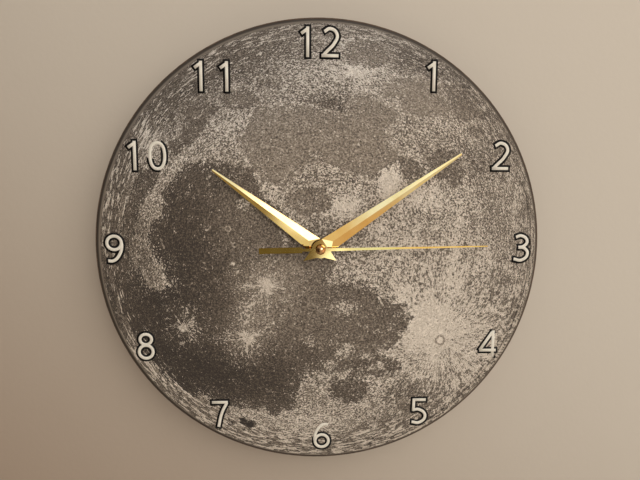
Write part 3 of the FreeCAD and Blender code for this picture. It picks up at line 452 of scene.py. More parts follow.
# How the picture is drawn, on a ball of radius 1
moonInk = {
    # Noises: (scale, detail, roughness, distortion)
    "noises": {
        "broad": (15.0, 5.0, 0.65), "close": (62.0, 3.0, 0.7), "speck": (118.0, 2.5, 0.66, 0.3),
        "arcs": (1.0, 2.5, 0.65, 0.3), "rays": (0.13, 3.0, 0.65), "outward": (1.0, 3.0, 0.7, 0.3),
        "pits": (125.0, 2.0, 0.6), "mottle": (9.0, 4.0, 0.6), "worn": (46.0, 2.0, 0.55, 0.6),
        "bent": (90.0, 2.0), "drift": (14.0, 2.0), "torn": (68.0, 2.0, 0.55, 1.6),
        "wander": (8.0, 2.5, 0.55, 0.9), "ridgeShown": (12.0, 2.0),
    },
    # Soft steps: (from, to, what they give at the two ends, where that isn't 0 and 1)
    "steps": {
        "shore": (-0.8, 0.8), "island": (0.50, 0.72), "seaCover": (12.0, 0.0, (0.04, 0.24)),
        "arcSide": (-0.6, 0.2, (0.45, 0.9)), "arcBand": (0.82, 0.94), "rays": (0.46, 0.62),
        "core": (0.15, 0.75), "tooth": (0.27, 0.73), "lit": (-0.035, 0.06), "shadow": (-0.22, -0.07),
        "bright": (0.2, 1.05), "landDark": (0.08, 0.50, (0.18, 0.37)),
        "pits": (1.2, 0.1, (0.55, 1.10)), "outline": (0.090, 0.050), "squiggle": (0.050, 0.018),
        "tornEdge": (0.64, 0.685), "torn": (0.69, 0.715), "ridge": (0.010, 0.002),
        "ridgeShown": (0.50, 0.62), "ringWall": (1.0, 0.3), "ringFloor": (0.0, -0.5),
        "limb": (0.90, 1.0), "border": (0.987, 0.991), "upLeft": (0.1, 0.9, (0.0, 0.003)),
        "lowRight": (0.55, 0.85, (0.0, -0.24)), "line": (0.005, 0.002),
        "edge": (0.990, 0.995, (0.38, 0.10)), "north": (0.30, 0.85),
        "roughness": (0.1, 0.9, (0.70, 0.55)),
    },
    # How much each thing adds: to the shore's run, to the cover of bright grain, or to the tone
    "gains": {
        "shoreBroad": 15.0, "shoreClose": 15.0, "islandClose": 2.4, "coverBroad": 0.55,
        "dustBroad": 2.4, "coreClose": 1.6, "coreCover": 0.3, "wallClose": 2.0, "mottle": 0.12,
        "dust": 0.35, "bright": 0.09, "shadow": -0.32, "outline": -0.12, "squiggle": 0.34,
        "seaWorn": 0.2, "tornDrift": 0.50, "tornEdge": -0.10, "torn": 0.55, "ridge": 0.16,
        "limb": -0.08, "ragged": 0.010,
    },
    # Limits, places and widths as shares of the radius, and the sides (right, in, up) that the steps
    # of the same name are taken along
    "mostCover": 0.94, "brightest": 0.76, "evenGain": 1.64, "thinnest": 0.0004, "thinnestWall": 0.1,
    "arcTurns": 19.0, "arcRings": 140.0, "coastShift": 0.6, "coastShare": 0.03, "bent": 0.010,
    "lineAt": 0.966, "arcSide": (-0.8, 0, -0.6), "upLeft": (-0.75, 0, 0.66),
    "lowRight": (0.88, 0, -0.47), "north": (-0.3, 0, 0.95), "northTint": (0.95, 1.0, 1.08, 1.0),
    "bump": 0.5, "bumpDeep": 0.12,
    # Small craters of the seas: (cells per radius, radius of the rim, its width, the share of cells
    # without one, gain). A rim is full within rimCore of its width.
    "smallCraters": ((40.0, 0.20, 0.10, 0.92, 0.26), (62.0, 0.0, 0.30, 0.88, 0.60)),
    "rimCore": 0.4, "chanceSoft": 0.02,
    "stops": ((0.0, (38, 30, 23)), (0.18, (65, 54, 43)), (0.32, (91, 79, 67)), (0.48, (127, 113, 98)),
              (0.66, (163, 149, 132)), (0.82, (190, 175, 158)), (1.0, (216, 202, 185))),
}


def mixEven(tree, share, a, b):
    # Mixes two noises and keeps their spread, which a plain mix narrows
    mixed = less(tree, mix(tree, share, a, b), noiseMiddle)
    both = times(tree, share, less(tree, 1.0, share))
    return addTimes(tree, noiseMiddle, mixed, addTimes(tree, 1.0, both, moonInk["evenGain"]))


def moonMaterial():
    material, tree, shader = newMaterial("moonInk")
    look = moonInk
    noises, steps, gains = look["noises"], look["steps"], look["gains"]
    field = {name: put(tree, "ShaderNodeAttribute", attribute_name=name).outputs["Fac"]
             for name in ("shore", "seaTone", "landTone", "island") + craterNames}
    threads = put(tree, "ShaderNodeAttribute", attribute_name="threads").outputs["Vector"]
    # A point of the disc is moved out to the ball that it pictures, so patterns narrow at the limb
    middle = (moon["centre"][0] * mm, 0, moon["centre"][1] * mm)
    perRadius = 1 / (moon["radius"] * mm)
    flat = vecCalc(tree, "MULTIPLY", vecCalc(tree, "SUBTRACT", objectPlace(tree), middle),
                   (perRadius, 0, perRadius))
    out = vecCalc(tree, "LENGTH", flat)
    depth = calc(tree, "MAXIMUM", less(tree, 1.0, times(tree, out, out)), look["thinnest"])
    ball = vecCalc(tree, "ADD", flat, alongY(tree, calc(tree, "SQRT", depth)))

    def towards(side):
        # A value that changes towards one side of the disc
        return ease(tree, vecCalc(tree, "DOT_PRODUCT", flat, look[side]), *steps[side])

    # Rugged shores
    broad = swingOf(tree, ball, *noises["broad"])
    close = swingOf(tree, ball, *noises["close"])
    rugged = addTimes(tree, times(tree, broad, gains["shoreBroad"]), close, gains["shoreClose"])
    edge = calc(tree, "ADD", field["shore"], rugged)
    island = ease(tree, addTimes(tree, field["island"], close, gains["islandClose"]), *steps["island"])
    sea = times(tree, ease(tree, edge, *steps["shore"]), less(tree, 1.0, island))

    # Grain of the print, with arcs that follow the limb and threads that run out of young craters
    speck = noiseOf(tree, ball, *noises["speck"])
    around = vecCalc(tree, "SCALE", vecCalc(tree, "NORMALIZE", flat), scale=look["arcTurns"])
    arcPlace = vecCalc(tree, "ADD", around, alongY(tree, times(tree, out, look["arcRings"])))
    arcs = noiseOf(tree, arcPlace, *noises["arcs"])
    arcShare = times(tree, ease(tree, out, *steps["arcBand"]), towards("arcSide"))
    tooth = mixEven(tree, arcShare, speck, arcs)
    tooth = mixEven(tree, field["grainShare"], tooth, noiseOf(tree, threads, *noises["outward"]))
    # Cover is the share of the grain that is bright
    cover = mix(tree, sea, addTimes(tree, field["landTone"], broad, gains["coverBroad"]),
                ease(tree, edge, *steps["seaCover"]))
    rays = ease(tree, noiseOf(tree, threads, *noises["rays"]), *steps["rays"])
    dust = times(tree, field["dust"], addTimes(tree, 1.0, broad, gains["dustBroad"]))
    core = ease(tree, addTimes(tree, field["core"], close, gains["coreClose"]), *steps["core"])
    young = calc(tree, "ADD", dust, times(tree, rays, field["rays"]))
    cover = calc(tree, "MINIMUM", calc(tree, "ADD", cover, young), look["mostCover"])
    cover = addTimes(tree, cover, core, gains["coreCover"])
    above = less(tree, ease(tree, tooth, *steps["tooth"]), less(tree, 1.0, cover))
    lit = ease(tree, above, *steps["lit"])
    shadow = times(tree, ease(tree, above, *steps["shadow"]), less(tree, 1.0, lit))

    # Dark parts: the seas are smooth, with fine tooth, and the land's pits are lighter than the seas
    pits = swingOf(tree, ball, *noises["pits"])
    seaTone = addTimes(tree, field["seaTone"], swingOf(tree, ball, *noises["mottle"]), gains["mottle"])
    low = mix(tree, sea, ease(tree, field["landTone"], *steps["landDark"]), seaTone)
    low = addTimes(tree, low, dust, gains["dust"])
    high = addTimes(tree, look["brightest"], ease(tree, cover, *steps["bright"]), gains["bright"])
    tone = addTimes(tree, mix(tree, lit, low, high), shadow, gains["shadow"])
    tone = addTimes(tree, tone, pits, ease(tree, cover, *steps["pits"]))
    # Thin bright squiggles with dark outlines: worn rims of the land, and the coasts of the seas
    worn = calc(tree, "ABSOLUTE", swingOf(tree, ball, *noises["worn"]))
    coast = calc(tree, "ABSOLUTE", calc(tree, "ADD", edge, look["coastShift"]))
    near = calc(tree, "MINIMUM", addTimes(tree, worn, sea, gains["seaWorn"]),
                times(tree, coast, look["coastShare"]))
    for name in ("outline", "squiggle"):
        tone = addTimes(tree, tone, ease(tree, near, *steps[name]), gains[name])

    # Scattered small craters of the seas, as dots and thin broken rims
    bent = noiseNode(tree, ball, *noises["bent"]).outputs["Color"]
    bentPlace = vecCalc(tree, "ADD", ball, vecCalc(tree, "SCALE", bent, scale=look["bent"]))
    for size, rimAt, width, keep, gain in look["smallCraters"]:
        cells = put(tree, "ShaderNodeTexVoronoi", {"Vector": bentPlace, "Scale": size}, feature="F1")
        chance = put(tree, "ShaderNodeSeparateColor", {0: cells.outputs["Color"]}).outputs[0]
        rim = calc(tree, "ABSOLUTE", less(tree, cells.outputs["Distance"], rimAt))
        rim = ease(tree, rim, width, width * look["rimCore"])
        rim = times(tree, rim, ease(tree, chance, keep, keep + look["chanceSoft"]))
        tone = addTimes(tree, tone, times(tree, rim, sea), gain)
    # Torn bright fragments with dark edges, in drifts
    torn = addTimes(tree, noiseOf(tree, ball, *noises["torn"]), swingOf(tree, ball, *noises["drift"]),
                    gains["tornDrift"])
    for name in ("tornEdge", "torn"):
        tone = addTimes(tree, tone, times(tree, ease(tree, torn, *steps[name]), sea), gains[name])
    # Wrinkle ridges: thin lines that wander over the seas
    wander = calc(tree, "ABSOLUTE", swingOf(tree, ball, *noises["wander"]))
    shown = ease(tree, noiseOf(tree, ball, *noises["ridgeShown"]), *steps["ridgeShown"])
    ridge = times(tree, ease(tree, wander, *steps["ridge"]), times(tree, shown, sea))
    tone = addTimes(tree, tone, ridge, gains["ridge"])
    # Rims and floors of the single craters
    off = addTimes(tree, field["ringOff"], close, times(tree, field["ringWall"], gains["wallClose"]))
    wall = calc(tree, "MAXIMUM", field["ringWall"], look["thinnestWall"])
    rim = ease(tree, calc(tree, "DIVIDE", calc(tree, "ABSOLUTE", off), wall), *steps["ringWall"])
    tone = addTimes(tree, tone, rim, field["ringRim"])
    tone = addTimes(tree, tone, ease(tree, off, *steps["ringFloor"]), field["ringFloor"])

    # The print darkens towards the limb and ends in a plain border, a little wider at the upper left,
    # with a dark edge. A fine dark line runs inside it at the lower right.
    tone = addTimes(tree, tone, ease(tree, out, *steps["limb"]), gains["limb"])
    upLeft = towards("upLeft")
    ragged = calc(tree, "ADD", out, upLeft)
    ragged = addTimes(tree, ragged, less(tree, arcs, noiseMiddle), gains["ragged"])
    line = calc(tree, "ABSOLUTE", less(tree, out, look["lineAt"]))
    tone = addTimes(tree, tone, ease(tree, line, *steps["line"]), towards("lowRight"))
    tone = mix(tree, ease(tree, ragged, *steps["border"]), tone,
               ease(tree, less(tree, out, upLeft), *steps["edge"]))

    colour = rampOf(tree, tone, look["stops"])
    colour = blend(tree, towards("north"), colour, look["northTint"], "MULTIPLY")
    roughness = ease(tree, tone, *steps["roughness"])
    dress(tree, shader, colour, roughness, tone, look["bump"], look["bumpDeep"])
    return material


# Numerals: strokes as lists of points, in millimetres from the middle of the digit

digit = {"half": 1.0, "rim": 1.35, "inkFront": 0.30, "paintFront": 0.40, "back": 0.12, "over": 0.02,
         "curveSteps": 14}
digitStrokes = {
    "0": (("ring", (0, 0, 4.8, 8.45)),),
    "1": (("line", ((0, -9.55), (0, 9.5))), ("line", ((-4.1, 5.2), (0.35, 8.35)))),
    "2": (("curve", ((-3.8, 6.6), (0.1, 8.4), (4.5, 4.8), (2.6, -0.8), (-1.9, -5.6), (-4.6, -8.4))),
          ("line", ((-5.6, -8.45), (5.5, -8.45)))),
    "3": (("curve", ((-4.0, 7.4), (-0.3, 8.4), (3.9, 4.6), (1.5, 1.1), (-1.9, 0.4))),
          ("curve", ((-1.9, 0.4), (2.4, -0.4), (4.5, -4.2), (0.6, -8.4), (-5.0, -7.7)))),
    "4": (("line", ((3.8, -9.55), (3.8, 9.4))), ("line", ((-5.6, -4.8), (6.1, -4.8))),
          ("line", ((-5.3, -4.6), (3.2, 8.3)))),
    "5": (("line", ((-4.6, 8.4), (4.6, 8.4))), ("line", ((-3.9, 9.2), (-4.1, 0.2))),
          ("curve", ((-4.4, 0.9), (-0.2, 1.3), (4.4, -3.4), (0.4, -8.3), (-5.1, -7.9)))),
    "6": (("curve", ((4.4, 8.2), (1.0, 8.2), (-3.2, 4.0), (-4.9, -2.2), (-4.7, -4.0))),
          ("ring", (0.1, -3.9, 4.75, 4.55))),
    "7": (("line", ((-5.6, 8.4), (5.4, 8.4))), ("curve", ((4.7, 8.0), (1.2, 0.6), (-1.2, -9.5)))),
    "8": (("ring", (0, 4.85, 3.9, 3.6)), ("ring", (0, -3.9, 4.7, 4.55))),
    "9": (("curve", ((-4.4, -8.2), (-1.0, -8.2), (3.2, -4.0), (4.9, 2.2), (4.7, 4.0))),
          ("ring", (-0.1, 3.9, 4.75, 4.55))),
}
# Each numeral: (its digits with their shift to the right, place to the right, place up)
numerals = {
    "12": ((("1", -7.2), ("2", 7.4)), -1.7, 134.6), "1": ((("1", 1.8),), 72.5, 114.1),
    "2": ((("2", 0),), 121.2, 62.8), "3": ((("3", 0),), 138.6, 0.4), "4": ((("4", 0),), 118, -67.4),
    "5": ((("5", 0),), 70.9, -116.6), "6": ((("6", 0),), 1.7, -133.9), "7": ((("7", 0),), -69.4, -116.9),
    "8": ((("8", 0),), -119, -67.8), "9": ((("9", 0),), -137.5, -0.4),
    "10": ((("1", -7.2), ("0", 7.5)), -114.8, 61.1), "11": ((("1", -6.3), ("1", 10.3)), -71.6, 112.2),
}


def strokeSpline(curve, kind, points, grow):
    # grow lengthens the two ends of an open stroke, for the dark rim round them
    if kind == "ring":
        x, z, wide, high = points
        points = ((x, z + high), (x + wide, z), (x, z - high), (x - wide, z))
    spline = curve.splines.new("BEZIER")
    spline.bezier_points.add(len(points) - 1)
    spots = [Vector((x, z, 0)) for x, z in points]
    if kind != "ring":
        spots[0] += (spots[0] - spots[1]).normalized() * grow
        spots[-1] += (spots[-1] - spots[-2]).normalized() * grow
    for point, spot in zip(spline.bezier_points, spots):
        point.co = spot
        point.handle_left_type = point.handle_right_type = "VECTOR" if kind == "line" else "AUTO"
    spline.use_cyclic_u = kind == "ring"
    spline.resolution_u = 1 if kind == "line" else digit["curveSteps"]


def flatCurve(name):
    curve = bpy.data.curves.new(name, "CURVE")
    curve.dimensions = "2D"
    holder = bpy.data.objects.new(name, curve)
    bpy.context.collection.objects.link(holder)
    return curve, holder


def strokeMesh(name, kind, points, grow, band):
    curve, holder = flatCurve(name)
    curve.fill_mode = "NONE"
    curve.bevel_mode = "OBJECT"
    curve.bevel_object = band
    curve.use_fill_caps = True
    strokeSpline(curve, kind, points, grow)
    bpy.context.view_layer.update()
    flat = bpy.data.meshes.new_from_object(holder.evaluated_get(bpy.context.evaluated_depsgraph_get()))
    bpy.data.objects.remove(holder)
    merged = bmesh.new()
    merged.from_mesh(flat)
    bmesh.ops.remove_doubles(merged, verts=merged.verts[:], dist=mergeGap)
    merged.to_mesh(flat)
    merged.free()
    return flat


def inkLayer(name, half, grow, front, material):
    # Every digit's strokes as flat bands of one width, on the dial's face. Each stroke of a digit
    # lies a little over the last, so that no two of their faces share a plane.
    profile, band = flatCurve(name + "Profile")
    corner = profile.splines.new("POLY")
    corner.points.add(3)
    deep = (front - digit["back"]) / 2
    for point, (x, y) in zip(corner.points, ((-1, -1), (1, -1), (1, 1), (-1, 1))):
        point.co = (x * half, y * deep, 0, 1)
    corner.use_cyclic_u = True
    whole = bmesh.new()
    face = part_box("moon_dial")[0][1]
    for digits, right, up in numerals.values():
        for character, shift in digits:
            for number, (kind, points) in enumerate(digitStrokes[character]):
                flat = strokeMesh(name, kind, points, grow, band)
                # Curve X is right, curve Y is up and curve Z comes out of the dial
                out = face - ((front + digit["back"]) / 2 + number * digit["over"]) * mm
                flat.transform(Matrix(((mm, 0, 0, (right + shift) * mm), (0, 0, -mm, out),
                                       (0, mm, 0, up * mm), (0, 0, 0, 1))))
                whole.from_mesh(flat)
                bpy.data.meshes.remove(flat)
    bmesh.ops.recalc_face_normals(whole, faces=whole.faces[:])
    bpy.data.objects.remove(band)
    piece = newPiece(name, whole, material)
    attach(piece, "movement")


# Screen inks: (colour, its darker tone, roughness)
screenInks = {
    "numeralInk": ((13, 10, 8), (8, 6, 5), 0.55),
    "numeralPaint": ((228, 219, 204), (212, 202, 186), 0.5),
    "signPrint": ((178, 178, 174), (160, 160, 156), 0.5),
}
inkCoat = {"specular": 0.2, "grain": 0.5, "dullness": 0.08, "bump": 0.2, "bumpDeep": 0.03}


def printMaterial(name):
    rgb, dark, roughness = screenInks[name]
    material, tree, shader = newMaterial(name, Specular_IOR_Level=inkCoat["specular"])
    tooth = useGroup(tree, grain, Vector=objectPlace(tree), Size=inkCoat["grain"])
    dress(tree, shader, blend(tree, tooth["Share"], linear(dark), linear(rgb)),
          ease(tree, tooth["Share"], 0.0, 1.0, (roughness + inkCoat["dullness"], roughness)),
          tooth["Height"], inkCoat["bump"], inkCoat["bumpDeep"])
    return material


def makeNumerals():
    inkLayer("numeralRims", digit["half"] + digit["rim"], digit["rim"], digit["inkFront"],
             printMaterial("numeralInk"))
    inkLayer("numeralFaces", digit["half"], 0.0, digit["paintFront"], printMaterial("numeralPaint"))


# Signs printed on the movement's back: an arrow with two heads round the setting knob, and the poles
# of the cell, in millimetres and degrees

backSigns = {
    "arrowInside": 7.2, "arrowOutside": 7.9, "arrowHalfTurn": 58, "arrowSteps": 24, "head": 1.5,
    "headLongShare": 1.7, "headGap": 0.02, "thick": 0.03, "poleSide": 21.0, "poleUp": 3.6,
    "poleHalf": 1.3, "poleBar": 0.28, "crossOver": 0.01,
}


def makeBackSigns():
    low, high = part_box("setting_knob")
    knob = Vector(((low[0] + high[0]) / 2, 0, (low[2] + high[2]) / 2))
    low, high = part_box("back_cover")
    face = high[1]
    inside, outside, thick, head, gap, crossOver = (backSigns[name] * mm for name in (
        "arrowInside", "arrowOutside", "thick", "head", "headGap", "crossOver"))
    mesh = bmesh.new()
    halfTurn = backSigns["arrowHalfTurn"]
    start = turned(halfTurn, "Y")
    ends = [mesh.verts.new(knob + start @ Vector((radius, 0, 0))) for radius in (inside, outside)]
    bar = mesh.edges.new(ends)
    bmesh.ops.spin(mesh, geom=ends + [bar], cent=knob, axis=(0, 1, 0), steps=backSigns["arrowSteps"],
                   angle=-2 * math.radians(halfTurn))
    middle = (inside + outside) / 2
    for way in (1, -1):
        turn = turned(way * halfTurn, "Y")
        corners = ((middle - head, 0, way * gap), (middle + head, 0, way * gap),
                   (middle, 0, -way * head * backSigns["headLongShare"]))
        mesh.faces.new([mesh.verts.new(knob + turn @ Vector(corner)) for corner in corners])
    # The flat sheet gets its thickness, half of it inside the cover
    grown = bmesh.ops.extrude_face_region(mesh, geom=mesh.faces[:])["geom"]
    bmesh.ops.translate(mesh, vec=(0, thick * 2, 0),
                        verts=[part for part in grown if isinstance(part, bmesh.types.BMVert)])
    bmesh.ops.translate(mesh, vec=(0, face - thick, 0), verts=mesh.verts[:])
    # A plus beside the cell's positive contact and a minus at the other side. The plus's upright bar
    # stands a hair over its level one.
    plusSide = sum(corner[0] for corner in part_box("positive_contact"))
    plusSide = math.copysign(backSigns["poleSide"], plusSide)
    half, thin = backSigns["poleHalf"] * 2, backSigns["poleBar"] * 2
    for place, wide, tall in ((plusSide, half, thin), (plusSide, thin, half), (-plusSide, half, thin)):
        over = crossOver if wide < tall else 0
        block = bmesh.ops.create_cube(mesh, size=1)["verts"]
        bmesh.ops.scale(mesh, vec=(wide * mm, thick * 2 + over, tall * mm), verts=block)
        bmesh.ops.translate(mesh, vec=(place * mm, face, low[2] + backSigns["poleUp"] * mm), verts=block)
    bmesh.ops.recalc_face_normals(mesh, faces=mesh.faces[:])
    piece = newPiece("backSigns", mesh, printMaterial("signPrint"))
    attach(piece, "movement")


# Finishes of the carried-over parts. Plated sheet is clean, with faint clouding and draw lines:
# slot, then (material, colour, its warmer tone, roughness)

goldFinishes = {
    "gold": ("goldPlate", (246, 214, 146), (240, 202, 128), 0.05),
    "gold_light": ("goldSheet", (240, 208, 138), (232, 196, 120), 0.06),
    "cap_gold": ("capPolish", (236, 184, 126), (224, 166, 106), 0.05),
}
goldLook = {"cloud": (90.0, 3.0), "cloudStep": (0.3, 0.7), "lineSize": 0.25,
            "lineStretch": (0.15, 1.0, 0.15), "dullShare": 1.3, "bump": 0.02, "bumpDeep": 0.004}


def goldMaterial(name, rgb, warm, roughness):
    material, tree, shader = newMaterial(name, Metallic=1.0)
    place = objectPlace(tree)
    cloud = ease(tree, noiseOf(tree, place, *goldLook["cloud"]), *goldLook["cloudStep"])
    lines = useGroup(tree, grain, Vector=place, Size=goldLook["lineSize"],
                     Stretch=goldLook["lineStretch"])
    dress(tree, shader, blend(tree, cloud, linear(warm), linear(rgb)),
          ease(tree, lines["Share"], 0.0, 1.0, (roughness, roughness * goldLook["dullShare"])),
          lines["Height"], goldLook["bump"], goldLook["bumpDeep"])
    return material


# Moulded plastic, sheet metal, rubber or board, with colour drift, fine tooth and rubbed places:
# slot, then (material, colour, its darker tone, roughness, what else differs)

plainFinishes = {
    "dial_board": ("boardFibre", (96, 74, 56), (66, 50, 38), 0.75, dict(size=0.5, strength=0.3)),
    "brass_turned": ("turnedBrass", (206, 174, 108), (180, 146, 84), 0.28,
                     dict(metallic=1.0, size=0.3, strength=0.1)),
    "steel_zinc": ("zincSteel", (186, 186, 188), (158, 158, 162), 0.34,
                   dict(metallic=1.0, size=0.6, strength=0.1)),
    "steel_pin": ("groundSteel", (196, 196, 200), (170, 170, 174), 0.25,
                  dict(metallic=1.0, size=0.3, strength=0.1)),
    "black_rubber": ("blackRubber", (38, 37, 36), (26, 25, 25), 0.8, {}),
    "black_plastic": ("blackMoulding", (40, 40, 42), (29, 29, 31), 0.55, dict(size=0.35, strength=0.35)),
    "white_gear": ("whiteAcetal", (232, 228, 216), (216, 210, 196), 0.42, {}),
    "black_gear": ("blackAcetal", (46, 46, 46), (34, 34, 34), 0.42, {}),
    "magnet": ("sinteredMagnet", (92, 92, 94), (70, 70, 72), 0.5, dict(metallic=0.6)),
    "stator_iron": ("softIron", (172, 172, 176), (140, 140, 146), 0.38, dict(metallic=1.0)),
    "copper_wire": ("copperWire", (190, 106, 62), (150, 76, 42), 0.3,
                    dict(metallic=1.0, size=0.2, strength=0.5, stretch=(6, 0.3, 0.3))),
    "bobbin_plastic": ("creamMoulding", (222, 214, 190), (204, 194, 168), 0.45, {}),
    "board_green": ("greenLaminate", (34, 92, 58), (24, 72, 44), 0.35, {}),
    "chip_resin": ("blackResin", (26, 26, 26), (18, 18, 18), 0.18, {}),
    "contact_nickel": ("nickelStrip", (206, 202, 188), (178, 174, 162), 0.28, dict(metallic=1.0)),
    "cell_sleeve": ("cellSleeve", (52, 54, 60), (40, 42, 48), 0.3, {}),
    "knob_red": ("redMoulding", (176, 52, 44), (148, 38, 34), 0.42, {}),
}
plainLook = {"rubbed": (160.0, 4.0, 0.6), "rubbedStep": (0.42, 0.70), "rubbedShare": 0.8,
             "bumpDeep": 0.05}


def plainMaterial(name, rgb, dark, roughness, metallic=0.0, size=0.4, strength=0.15, stretch=(1, 1, 1)):
    material, tree, shader = newMaterial(name, Metallic=metallic)
    place = objectPlace(tree)
    tooth = useGroup(tree, grain, Vector=place, Size=size, Stretch=stretch)
    rubbed = ease(tree, noiseOf(tree, place, *plainLook["rubbed"]), *plainLook["rubbedStep"])
    dress(tree, shader, blend(tree, tooth["Share"], linear(dark), linear(rgb)),
          ease(tree, rubbed, 0.0, 1.0, (roughness, roughness * plainLook["rubbedShare"])),
          tooth["Height"], strength, plainLook["bumpDeep"])
    return material


def dressNodes():
    made = {slot: goldMaterial(*values) for slot, values in goldFinishes.items()}
    for slot, (*values, more) in plainFinishes.items():
        made[slot] = plainMaterial(*values, **more)
    slots = {part["node"]: part["material_slot"] for part in frame["record"]["subparts"]}
    for name, node in frame["nodes"].items():
        for place in node.material_slots:
            place.link = "OBJECT"
            place.material = made[slots[name]]


# Wall and floor, in metres

stage = {"wallGap": 0.0006, "wide": 4.0, "high": 3.0, "floorDrop": 0.55}
# The wall's paint turns darker and warmer towards the lower left, away from the key lamp. This is
# painted shade of the lamps' falloff, and a cloudy noise makes its edge uneven.
wallLook = {
    "near": (191, 179, 164), "paintedShade": (151, 130, 111), "paintedShadeSide": (-0.62, 0, -0.78),
    "paintedShadeStep": (-0.12, 0.40), "cloud": (4.0, 3.0), "cloudGain": 0.06, "plaster": (260.0, 3.0, 0.55),
    "roughness": 0.85, "bump": 0.3, "bumpDeep": 0.35,
}
floorLook = {"rgb": (214, 209, 200), "dark": (206, 200, 190), "grain": 3.0, "roughness": 0.8}


def makeStage():
    mesh = bmesh.new()
    # A grid reaches its size to both sides of its middle
    bmesh.ops.create_grid(mesh, x_segments=1, y_segments=1, size=0.5)
    bmesh.ops.scale(mesh, vec=(stage["wide"], stage["high"], 1), verts=mesh.verts[:])
    # Upright, facing the room
    bmesh.ops.rotate(mesh, cent=(0, 0, 0), matrix=turned(90, "X"), verts=mesh.verts[:])
    bmesh.ops.translate(mesh, vec=(0, stage["wallGap"], stage["high"] / 2 - stage["floorDrop"]),
                        verts=mesh.verts[:])
    wall = newPiece("wall", mesh, wallMaterial())
    mesh = bmesh.new()
    bmesh.ops.create_grid(mesh, x_segments=1, y_segments=1, size=stage["wide"])
    bmesh.ops.translate(mesh, vec=(0, 0, -stage["floorDrop"]), verts=mesh.verts[:])
    floor = newPiece("floor", mesh, floorMaterial())
    floor.visible_glossy = False


def wallMaterial():
    # Matt painted plaster. It shows to the camera from the room side only, so the back can be seen.
    material, tree, shader = newMaterial("wallPaint")
    place = objectPlace(tree)
    # Painted shade: the lit paint turns to a darker, warmer tone towards the lower left, with an uneven
    # edge
    paintedShade = addTimes(tree, vecCalc(tree, "DOT_PRODUCT", place, wallLook["paintedShadeSide"]),
                   swingOf(tree, place, *wallLook["cloud"]), wallLook["cloudGain"])
    paintedShade = ease(tree, paintedShade, *wallLook["paintedShadeStep"])
    colour = blend(tree, paintedShade, linear(wallLook["near"]), linear(wallLook["paintedShade"]))
    dress(tree, shader, colour, wallLook["roughness"], noiseOf(tree, place, *wallLook["plaster"]),
          wallLook["bump"], wallLook["bumpDeep"])
    path = put(tree, "ShaderNodeLightPath").outputs
    behind = put(tree, "ShaderNodeNewGeometry").outputs["Backfacing"]
    shown = times(tree, path["Is Camera Ray"], less(tree, 1.0, behind))
    clear = put(tree, "ShaderNodeBsdfTransparent")
    both = put(tree, "ShaderNodeMixShader", {0: shown, 1: clear.outputs[0], 2: shader.outputs[0]})
    tree.links.new(both.outputs[0], tree.nodes["Material Output"].inputs["Surface"])
    return material


def floorMaterial():
    material, tree, shader = newMaterial("paleFloor", Roughness=floorLook["roughness"])
    tooth = useGroup(tree, grain, Vector=objectPlace(tree), Size=floorLook["grain"])
    tree.links.new(blend(tree, tooth["Share"], linear(floorLook["dark"]), linear(floorLook["rgb"])),
                   shader.inputs["Base Color"])
    return material


# Lamps: (place, power in watts, size, colour)
lamps = {
    "keySoft": ((0.80, -0.95, 0.70), 11.2, 1.2, (1.0, 0.985, 0.96)),
    "frontSoft": ((0.26, -1.40, 0.44), 4.1, 0.6, (1.0, 0.98, 0.95)),
    "backSoft": ((0.5, 1.3, 0.9), 18.0, 1.0, (1.0, 0.98, 0.95)),
}
# The room: its even light, and what the polished metal sees in it. Each patch is (degrees to the right
# and up from the clock's front, half width in radians, light), and a later patch covers an earlier one.
# A patch is full within the second share of its half width, and gone past the first.
room = {
    "even": (0.46, 0.44, 0.41), "background": (228, 222, 212), "patchShares": (1.3, 0.6),
    "patches": (((-62, -12), 0.90, (0.05, 0.042, 0.034)), ((26, 28), 0.30, (7.0, 7.0, 7.0)),
                ((70, -20), 0.50, (0.9, 0.7, 0.6)), ((-20, -13), 0.20, (0.30, 0.26, 0.17)),
                ((-11.5, -21), 0.09, (0.80, 0.80, 0.70)), ((-12, -16.8), 0.05, (1.6, 1.7, 1.9)),
                ((-6, 11), 0.14, (0.78, 0.66, 0.48)), ((5, 16), 0.17, (0.95, 1.15, 1.5)),
                ((10.5, 10.5), 0.13, (3.6, 3.6, 3.8)), ((2.4, -7), 0.05, (0.56, 0.43, 0.28)),
                ((29, -11), 0.17, (0.74, 0.74, 0.80)), ((17, -22), 0.14, (0.68, 0.51, 0.34)),
                ((17, -17.5), 0.035, (0.75, 0.75, 0.75)), ((15, -7.5), 0.11, (0.90, 0.84, 0.76)),
                ((9, -7.2), 0.05, (0.95, 1.15, 1.3)), ((-3, -8), 0.10, (0.15, 0.13, 0.07)),
                ((4.5, -9.4), 0.042, (1.7, 2.0, 2.3))),
}


def makeLamps():
    for name, (place, power, size, colour) in lamps.items():
        lamp = bpy.data.lights.new(name, "AREA")
        lamp.energy = power
        lamp.size = size
        lamp.color = colour
        holder = bpy.data.objects.new(name, lamp)
        holder.location = place
        holder.rotation_euler = (-Vector(place)).to_track_quat("-Z", "Y").to_euler()
        holder.visible_glossy = False
        bpy.context.collection.objects.link(holder)


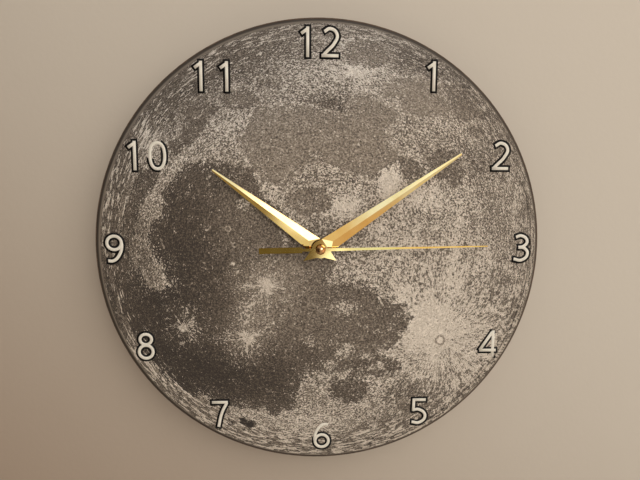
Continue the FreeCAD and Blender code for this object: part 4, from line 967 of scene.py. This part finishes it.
def makeRoom():
    world = bpy.data.worlds.new("room")
    bpy.context.scene.world = world
    world.use_nodes = True
    tree = world.node_tree
    way = vecCalc(tree, "NORMALIZE", put(tree, "ShaderNodeTexCoord").outputs["Generated"])
    path = put(tree, "ShaderNodeLightPath").outputs
    even = room["even"] + (1.0,)
    gone, full = room["patchShares"]
    colour = even
    for (right, up), half, patch in room["patches"]:
        right, up = math.radians(right), math.radians(up)
        aim = (math.sin(right) * math.cos(up), -math.cos(right) * math.cos(up), math.sin(up))
        inside = ease(tree, vecCalc(tree, "DISTANCE", way, aim), half * gone, half * full)
        colour = blend(tree, inside, colour, patch + (1.0,))
    light = tree.nodes["Background"]
    tree.links.new(blend(tree, path["Is Glossy Ray"], even, colour), light.inputs["Color"])
    shown = put(tree, "ShaderNodeBackground", {"Color": linear(room["background"]), "Strength": 1.0})
    both = put(tree, "ShaderNodeMixShader", {0: path["Is Camera Ray"], 1: light.outputs[0],
                                             2: shown.outputs[0]})
    tree.links.new(both.outputs[0], tree.nodes["World Output"].inputs["Surface"])


# Fitted to the dial's outline and the numerals in the photograph
camera = {
    "place": (-0.0124, -0.3466, 0.0418), "right": (0.9993, -0.0371, 0.0056),
    "up": (-0.0014, 0.1112, 0.9938), "back": (-0.0375, -0.9931, 0.1110),
    "lens": 27.06, "sensor": 36.0, "nearest": 0.01,
}


def makeCamera():
    data = bpy.data.cameras.new("camera")
    data.sensor_fit = "HORIZONTAL"
    data.sensor_width = camera["sensor"]
    data.lens = camera["lens"]
    data.clip_start = camera["nearest"]
    holder = bpy.data.objects.new("camera", data)
    turn = Matrix((camera["right"], camera["up"], camera["back"])).transposed().to_4x4()
    holder.matrix_world = Matrix.Translation(camera["place"]) @ turn
    bpy.context.collection.objects.link(holder)
    bpy.context.scene.camera = holder


makeCamera()
makeLamps()
makeRoom()
makeStage()
print("stage done")
dressNodes()
print("nodes dressed")
makeMoonPrint()
print("moon printed")
makeNumerals()
print("numerals printed")
makeBackSigns()
print("back signs printed")

bpy.context.scene.view_settings.view_transform = "Standard"
